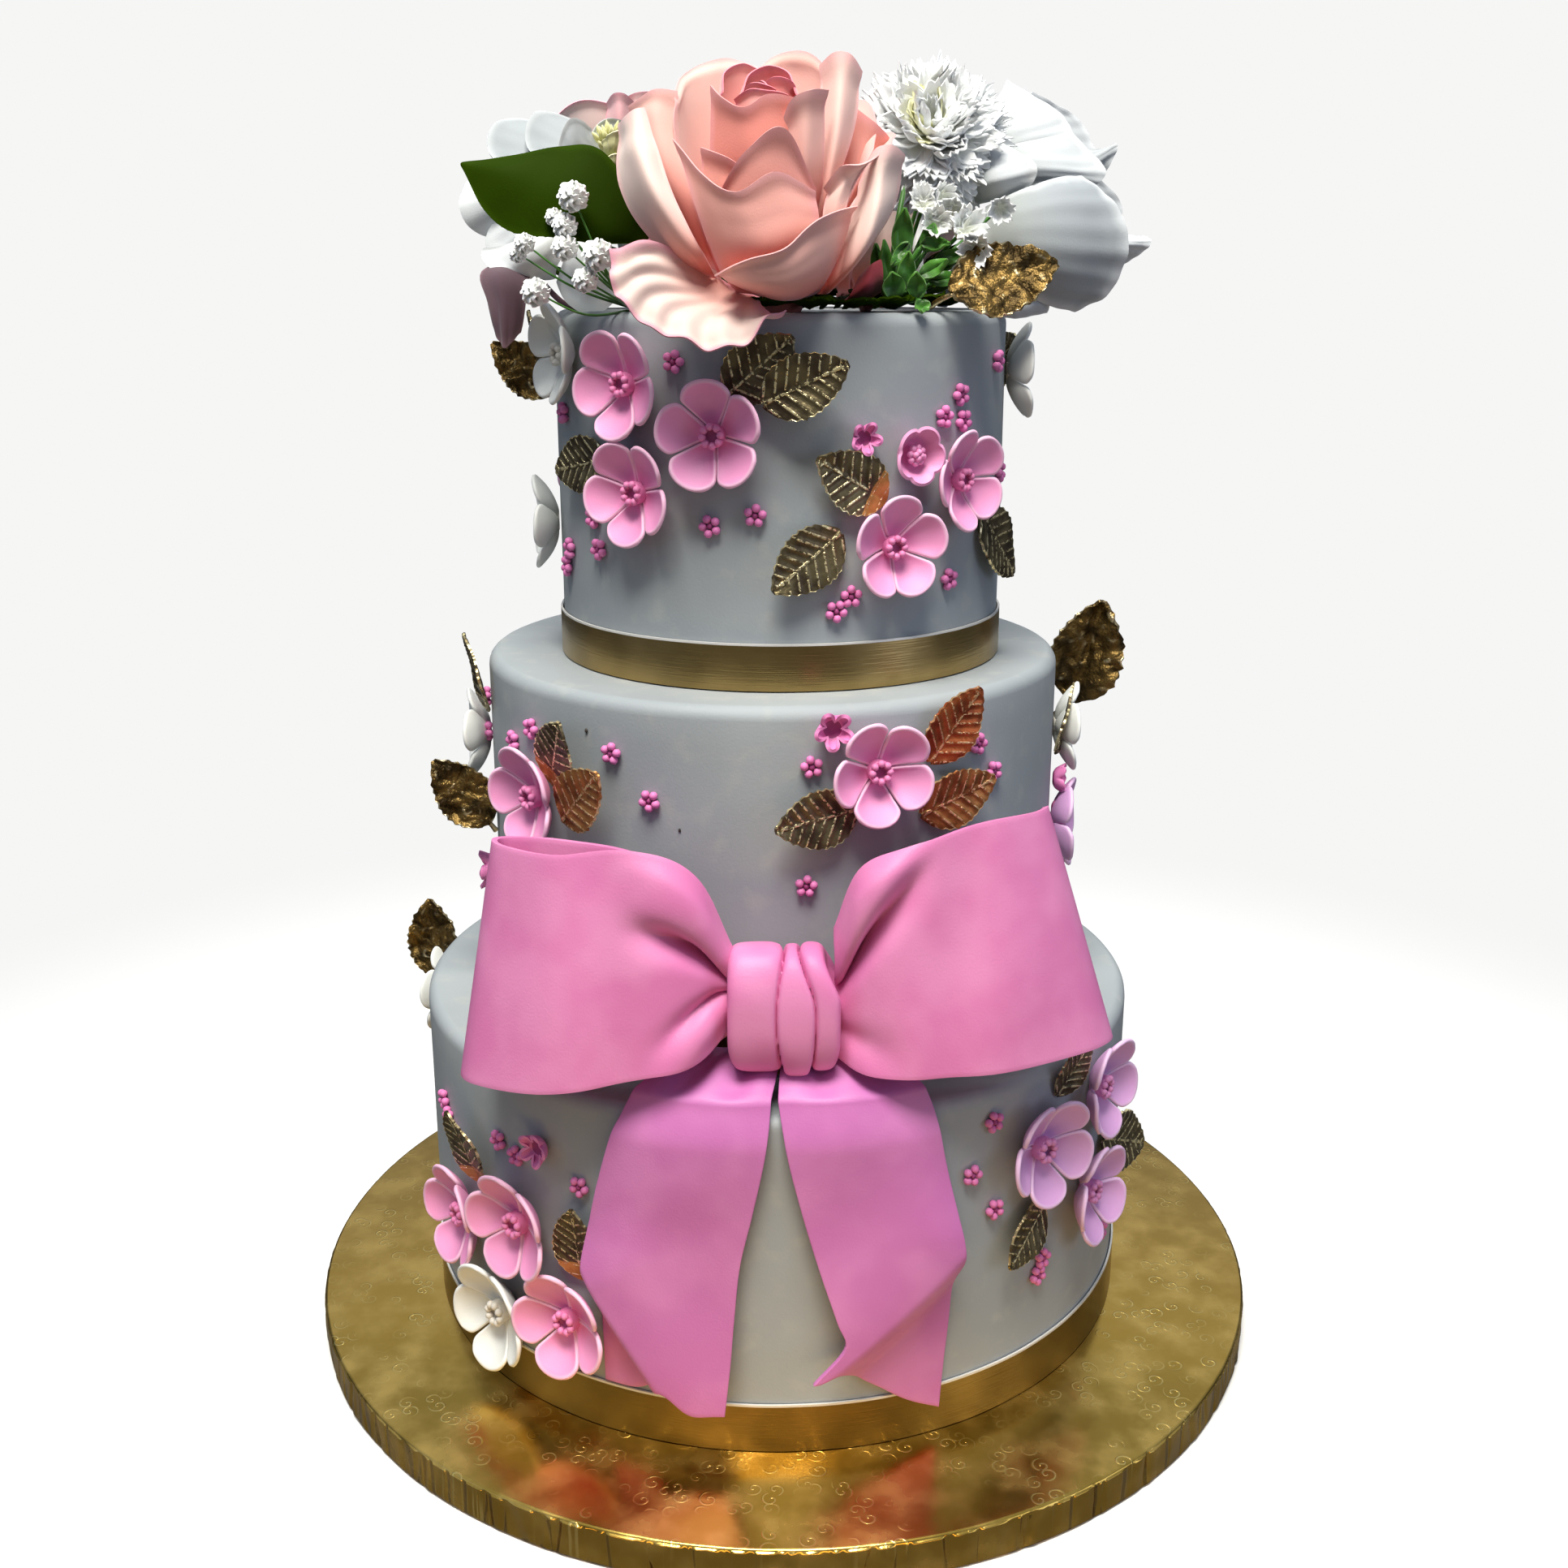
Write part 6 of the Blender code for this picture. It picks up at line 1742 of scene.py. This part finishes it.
def ragged(name, long, wide, hook, seed, faces):
    """A small spoon-shaped petal along +Z with a rounded, slightly torn rim."""
    def place(u, v):
        half = wide * (0.30 + 0.70 * math.sin(math.pi * min(0.10 + 0.62 * v, 0.62))) * MM
        tear = 0.12 * math.cos(u * math.pi * 2.6 + seed) * ease(v, 0.6, 1.0)
        z = long * v * (1 + tear - 0.16 * u * u * ease(v, 0.5, 1.0)) * MM
        hollow = 1.5 * (1 - u * u) * math.sin(math.pi * min(v, 0.9))
        y = (hook * v * v - hollow) * MM + 0.0003 * math.sin(4 * u + seed) * v
        return (u * half * (1 - 0.18 * ease(v, 0.8, 1.0)), y, z)
    piece = sheet(name, faces[0], faces[1], place, 0.8)
    modify(piece, "SOLIDIFY", thickness=0.00035, offset=0.0)
    bpy.ops.object.shade_smooth()
    return piece


def pointing(way, spin):
    """A turn that takes +Z to a direction, with a spin about it."""
    return way.to_track_quat("Z", "Y").to_matrix().to_4x4() @ Matrix.Rotation(math.radians(spin), 4, "Z")


def dome_ways(count, lowest):
    """Evenly spread directions over a dome round +Z, down to the lowest height on it."""
    for i in range(count):
        z = 1 - (1 - lowest) * (i + 0.5) / count
        out, turn = math.sqrt(1 - z * z), i * GOLDEN_ANGLE
        yield i, Vector((out * math.cos(turn), out * math.sin(turn), z))

# %% Chrysanthemum
models = [ragged(f"ragged_{seed}", 10.0, 2.5 + 0.5 * seed, 1.4 - 1.6 * seed, seed * 2.1, (6, 8))
          for seed in (0, 1, 2)]
mum_at = seen(1216, 246, -22)
mum_lean = leaning(mum_at, 4, 58)
MUM_PETALS = 230
mum, yellow = [], []
for i in range(MUM_PETALS):
    out = math.sqrt((i + 0.5) / MUM_PETALS)              # 0 in the middle of the flower, 1 at its rim
    tilt, turn = math.radians(2 + 112 * out), i * GOLDEN_ANGLE + 0.5 * noise.noise((i * 0.9, 5, 5))
    way = Vector((math.sin(tilt) * math.cos(turn), math.sin(tilt) * math.sin(turn), math.cos(tilt)))
    jitter = Vector((noise.noise((i, 0, 0.5)), noise.noise((0, i, 0.5)), noise.noise((0.5, 0, i)))) * 0.85
    foot = Vector((way.x, way.y, way.z * 0.9)) * (2.5 + 8.5 * out) * MM
    across = Vector((-math.sin(turn), math.cos(turn), 0))
    way = (way + jitter).normalized()
    side = (across - way * across.dot(way)).normalized()
    facing = Matrix((side, way.cross(side), way)).transposed().to_4x4()
    size = 1.08 + 0.66 * out + 0.25 * noise.noise((i * 0.7, 2, 3))
    petals = yellow if out < 0.30 and way.x < -0.05 and i % 3 else mum
    petals.append(copy_of(models[i % 3], "mum_petal", mum_lean @ Matrix.Translation(foot) @ facing, size))
for model in models:
    put_away(model)
core = disc_sheet("mum_core", 8, lambda x, y: mum_lean @ Vector((x * 0.011, y * 0.011,
                                                                 0.004 * (1 - x * x - y * y))))
modify(core, "SOLIDIFY", thickness=0.010, offset=-1.0)
mum.append(core)
mum.append(stalk("mum_stem", [(0.0460, -0.0250, 0.3716), (0.0430, -0.0320, 0.3900), mum_at],
                 0.0016, 0.0020, 8))
flower_of("chrysanthemum_petals", mum, WHITE_CLOTH, "cloth_white", "chrysanthemum")
flower_of("chrysanthemum_yellow_petals", yellow, STAMEN_CLOTH, "cloth_white")
print("chrysanthemum:", MUM_PETALS, "petals")

# %% [markdown]
# ## Baby's breath, florets and sprigs
# These are clusters of tiny things on thin stems. Each head of baby's breath is a ball of
# crumpled petals, each floret is a small star, and the sprig's leaves are little spoons.

# %% Baby's breath
frill = ragged("frill", 2.6, 1.25, 0.5, 1.0, (3, 3))
BREATH = (                                 # where the camera sees each head, Y and its size
    (332, 404, -74, 1.15), (312, 476, -73, 0.95), (312, 530, -74, 1.0), (394, 548, -77, 1.2),
    (212, 520, -70, 0.8), (362, 610, -76, 0.95), (240, 640, -72, 1.1), (196, 545, -66, 0.7),
    (286, 455, -68, 0.7))
heads, threads = [], []
for i, (across, down, y, size) in enumerate(BREATH):
    centre = seen(across, down, y)
    for k, way in dome_ways(30, -0.8):
        at = Matrix.Translation(centre) @ pointing(Vector((way.x, -way.z, way.y)), 137 * k)
        heads.append(copy_of(frill, "frill", at @ Matrix.Translation((0, 0, 0.0016 * size)), size))
    foot = Vector((-0.0460, -0.0530, 0.3718))
    bend = foot.lerp(centre, 0.5) + Vector((0, -0.004, -0.004 + 0.002 * (i % 3)))
    threads.append(stalk(f"thread_{i}", [foot, bend, centre], 0.0005, 0.0003, 6, 10))
flower_of("babys_breath_heads", heads, WHITE_CLOTH, "cloth_white", "babys_breath")

# %% Florets
star = ragged("star", 7.6, 2.0, 2.4, 3.1, (4, 6))
FLORETS = (                                # where the camera sees each, Y and its size
    (1196, 424, -50, 0.9), (1240, 402, -50, 0.8), (1268, 436, -52, 1.0), (1226, 470, -54, 0.9),
    (1296, 486, -55, 1.1), (1326, 530, -57, 1.0), (1384, 432, -44, 0.8), (1188, 400, -48, 0.6))
sprig_foot = Vector((0.0330, -0.0530, 0.3718))
stars = []
for i, (across, down, y, size) in enumerate(FLORETS):
    centre = seen(across, down, y)
    facing = Vector((0.25 * math.sin(i * 2.1), -1.0, 0.35 * math.cos(i * 1.7))).normalized()
    for k in range(6):
        spread = leaning((0, 0, 0), 60 * k + 17 * i, 58)
        stars.append(copy_of(star, "star", Matrix.Translation(centre) @ pointing(facing, 0) @ spread, size))
    bend = sprig_foot.lerp(centre, 0.6) + Vector((0, 0.004, 0))
    threads.append(stalk(f"floret_thread_{i}", [sprig_foot, bend, centre], 0.0007, 0.0006, 6, 8, 0.2))
flower_of("floret_stars", stars, WHITE_CLOTH, "cloth_white")
put_away(frill)
put_away(star)

# %% Sprigs
def cloth_leaf(name, foot, base, tip, half, facing, seed, faces, tone, teeth=0.0):
    """A leaf on a stalk from its foot: base and tip of the blade, half width and where it faces."""
    base, tip = Vector(base), Vector(tip)
    along = tip - base
    side = along.cross(Vector(facing)).normalized()
    out = side.cross(along).normalized()

    def place(u, v):
        wide = half * math.sin(math.pi * (0.02 + 0.96 * v) ** 0.8) ** 0.8
        wide += teeth * ((v * 22) % 1.0 - 0.4) * ease(abs(u), 0.8, 1.0)
        bend = 0.16 * wide * abs(u) - 0.10 * along.length * math.sin(math.pi * v) ** 2
        bend += 0.0012 * noise.noise((u * 1.4, v * 3.0, seed)) - 0.0004 * hump(u, 0.0, 0.12)
        bend += 0.00025 * math.sin((v - 0.3 * abs(u)) * 44) * abs(u)
        return base + along * v + side * u * wide + out * bend

    piece = sheet(name, faces[0], faces[1], place, tone)
    modify(piece, "SOLIDIFY", thickness=0.0006, offset=0.0)
    bpy.ops.object.shade_smooth()
    bend = Vector(foot).lerp(base, 0.55) + Vector((0, 0, 0.001))
    stem = stalk(name + "_stalk", [foot, bend, base + along * 0.04], 0.0009, 0.0007, 6, 8, 0.4)
    return join([piece, stem], name)


SPRIG_LEAVES = (                       # where the camera sees the base and the tip, Y, half width
    (1140, 560, 1150, 432, -58, 3.4), (1118, 640, 1098, 510, -60, 2.4), (1150, 640, 1160, 540, -64, 3.0),
    (1128, 655, 1118, 590, -66, 3.6), (1180, 655, 1178, 590, -66, 3.0), (1185, 600, 1255, 560, -60, 2.6),
    (1200, 540, 1222, 470, -56, 2.8), (1190, 520, 1262, 520, -58, 2.2), (1340, 560, 1392, 540, -56, 3.2),
    (1160, 520, 1118, 575, -62, 2.2), (1210, 610, 1290, 600, -58, 2.4), (1195, 660, 1192, 690, -68, 2.4),
    (1085, 620, 1078, 520, -56, 2.2), (1230, 560, 1310, 540, -56, 2.4))
sprigs = []
for i, (x0, y0, x1, y1, depth, half) in enumerate(SPRIG_LEAVES):
    base, tip = seen(x0, y0, depth + 2), seen(x1, y1, depth - 1)
    facing = (0.2 * math.sin(i), -1.0, 0.3)
    sprigs.append(cloth_leaf(f"sprig_{i}", sprig_foot, base, tip, half * MM, facing, i, (6, 10),
                             0.3 + 0.6 * (i % 3) / 2))
sprigs.append(stalk("sprig_dark_stem", [sprig_foot, seen(1128, 500, -56), seen(1150, 372, -50)],
                    0.0013, 0.0008, 8, 10))
flower_of("sprig_leaves", sprigs, SPRIG_CLOTH, "cloth_green", "sprig_green")
flower_of("thin_stems", threads, SPRIG_CLOTH, "cloth_green")

# %% Green leaf
GREEN_FACES = (40, 78)
green = petal("green_blade", (
    ((522, 500, -62), (515, 512, -63), (505, 520, -64)), ((480, 392, -61), (430, 476, -66), (390, 520, -66)),
    ((398, 290, -60), (330, 402, -66), (288, 506, -67)), ((300, 282, -59), (240, 382, -65), (186, 494, -66)),
    ((186, 304, -60), (160, 350, -64), (116, 440, -64)), ((60, 320, -60), (56, 324, -60), (58, 330, -60))),
    0.5, 0.0, 0.8, 0, 0.0, GREEN_FACES, 0.0008)
TEETH, TEETH_DEPTH = 26, 0.34              # depth as a share of a strip four faces wide
for row in range(GREEN_FACES[1] + 1):
    for side in (0, GREEN_FACES[0]):
        first = row * (GREEN_FACES[0] + 1)
        edge, within = [green.data.vertices[first + column] for column in (side, abs(side - 4))]
        saw = (row * TEETH / GREEN_FACES[1]) % 1.0 - 0.5
        edge.co += (edge.co - within.co) * TEETH_DEPTH * saw * ease(row, 8, 20) * (1 - ease(row, 66, 76))
foot_stalk = stalk("green_stalk", [(-0.0390, -0.0550, 0.3724), (-0.0440, -0.0610, 0.3850),
                                   seen(500, 508, -62), seen(330, 404, -61), seen(150, 350, -60)],
                   0.0009, 0.0004, 8, 20, 0.9)
flower_of("leaf_green_blade", [green, foot_stalk], LEAF_CLOTH, "cloth_green", "leaf_green")

# %% Mauve petal and red bud
mauve = petal("mauve_a", (
    ((200, 560, -34), (215, 570, -34), (230, 585, -34)), ((108, 590, -38), (160, 600, -44), (222, 620, -42)),
    ((122, 665, -42), (165, 675, -47), (214, 680, -45)), ((138, 748, -42), (164, 778, -45), (206, 740, -44))),
    0.6, 0.6, 0.8, 3, 0.3, (18, 18))
mauve_stem = stalk("mauve_stem", [(-0.0650, -0.0280, 0.3716), (-0.0720, -0.0330, 0.3740),
                                  seen(212, 566, -34)], 0.0010, 0.0010)
flower_of("petal_mauve_cloth", [mauve, mauve_stem], MAUVE_CLOTH_PAINTED_SHADE, "cloth_mauve", "petal_mauve")
bud = petal("red_bud", (
    ((1090, 640, -60), (1060, 655, -62), (1000, 662, -60)),
    ((1096, 600, -62), (1058, 620, -66), (1020, 640, -62)),
    ((1092, 558, -60), (1066, 572, -63), (1038, 596, -60))), 0.6, 0.6, 0.4, faces=(12, 12))
bud_foot = stalk("red_bud_foot", [(0.0250, -0.0480, 0.3716), (0.0260, -0.0540, 0.3730),
                                  seen(1050, 640, -61)], 0.0015, 0.0020)
flower_of("red_bud_petal", [bud, bud_foot], RED_CLOTH, "cloth_mauve")

# %% [markdown]
# ## Foliage round the foot of the posy
# Broad green leaves fill the gaps low between the flowers and go on round the back, where the
# picture doesn't show them. The flat dark leaves low at the front lie where there is only shade
# under the posy: painted shade.

# %% Foliage
# The flat leaves low at the front, from -12 to 52 degrees with a rise of 5 mm or less, are dark leaves laid
# over gaps that are only shade: painted shade.
FOLIAGE = (                            # angle from the front, foot and tip radius in mm, rise, half width
    (-35, 36, 60, 8, 9), (-62, 34, 62, 12, 9), (35, 38, 62, 6, 8), (66, 36, 66, 8, 10),
    (100, 40, 82, 14, 12), (128, 36, 90, 20, 13), (155, 38, 84, 14, 12), (182, 40, 92, 24, 13),
    (208, 36, 84, 12, 12), (234, 38, 90, 22, 13), (262, 38, 84, 12, 12), (12, 40, 60, 5, 7),
    (-12, 40, 58, 5, 7), (20, 46, 76, 2, 10), (31, 48, 76, 2, 10), (42, 48, 75, 3, 9),
    (52, 46, 75, 2, 9), (8, 48, 76, 2, 9), (-4, 48, 75, 2, 8), (142, 20, 60, 48, 11),
    (195, 18, 56, 52, 11), (246, 22, 66, 44, 11))
foliage = []
middle = Vector((*TIER_SHIFT["top"], CAKE_TOP))
for i, (angle, near, far, rise, half) in enumerate(FOLIAGE):
    a = math.radians(angle)
    way = Vector((math.sin(a), -math.cos(a), 0))
    foot = middle + way * near * MM * 0.8 + Vector((0, 0, 0.0003))
    base = middle + way * near * MM * 1.15 + Vector((0, 0, (3 + rise * 0.35) * MM))
    tip = middle + way * far * MM + Vector((0, 0, (2 + rise) * MM))
    foliage.append(cloth_leaf(f"foliage_{i}", foot, base, tip, half * MM, Vector((0, 0, 1)) + way * 0.2,
                              i * 1.7, (14, 24), 0.2 + 0.5 * (i % 3) / 2, 0.0006))
flower_of("foliage_leaves", foliage, LEAF_CLOTH, "cloth_green")
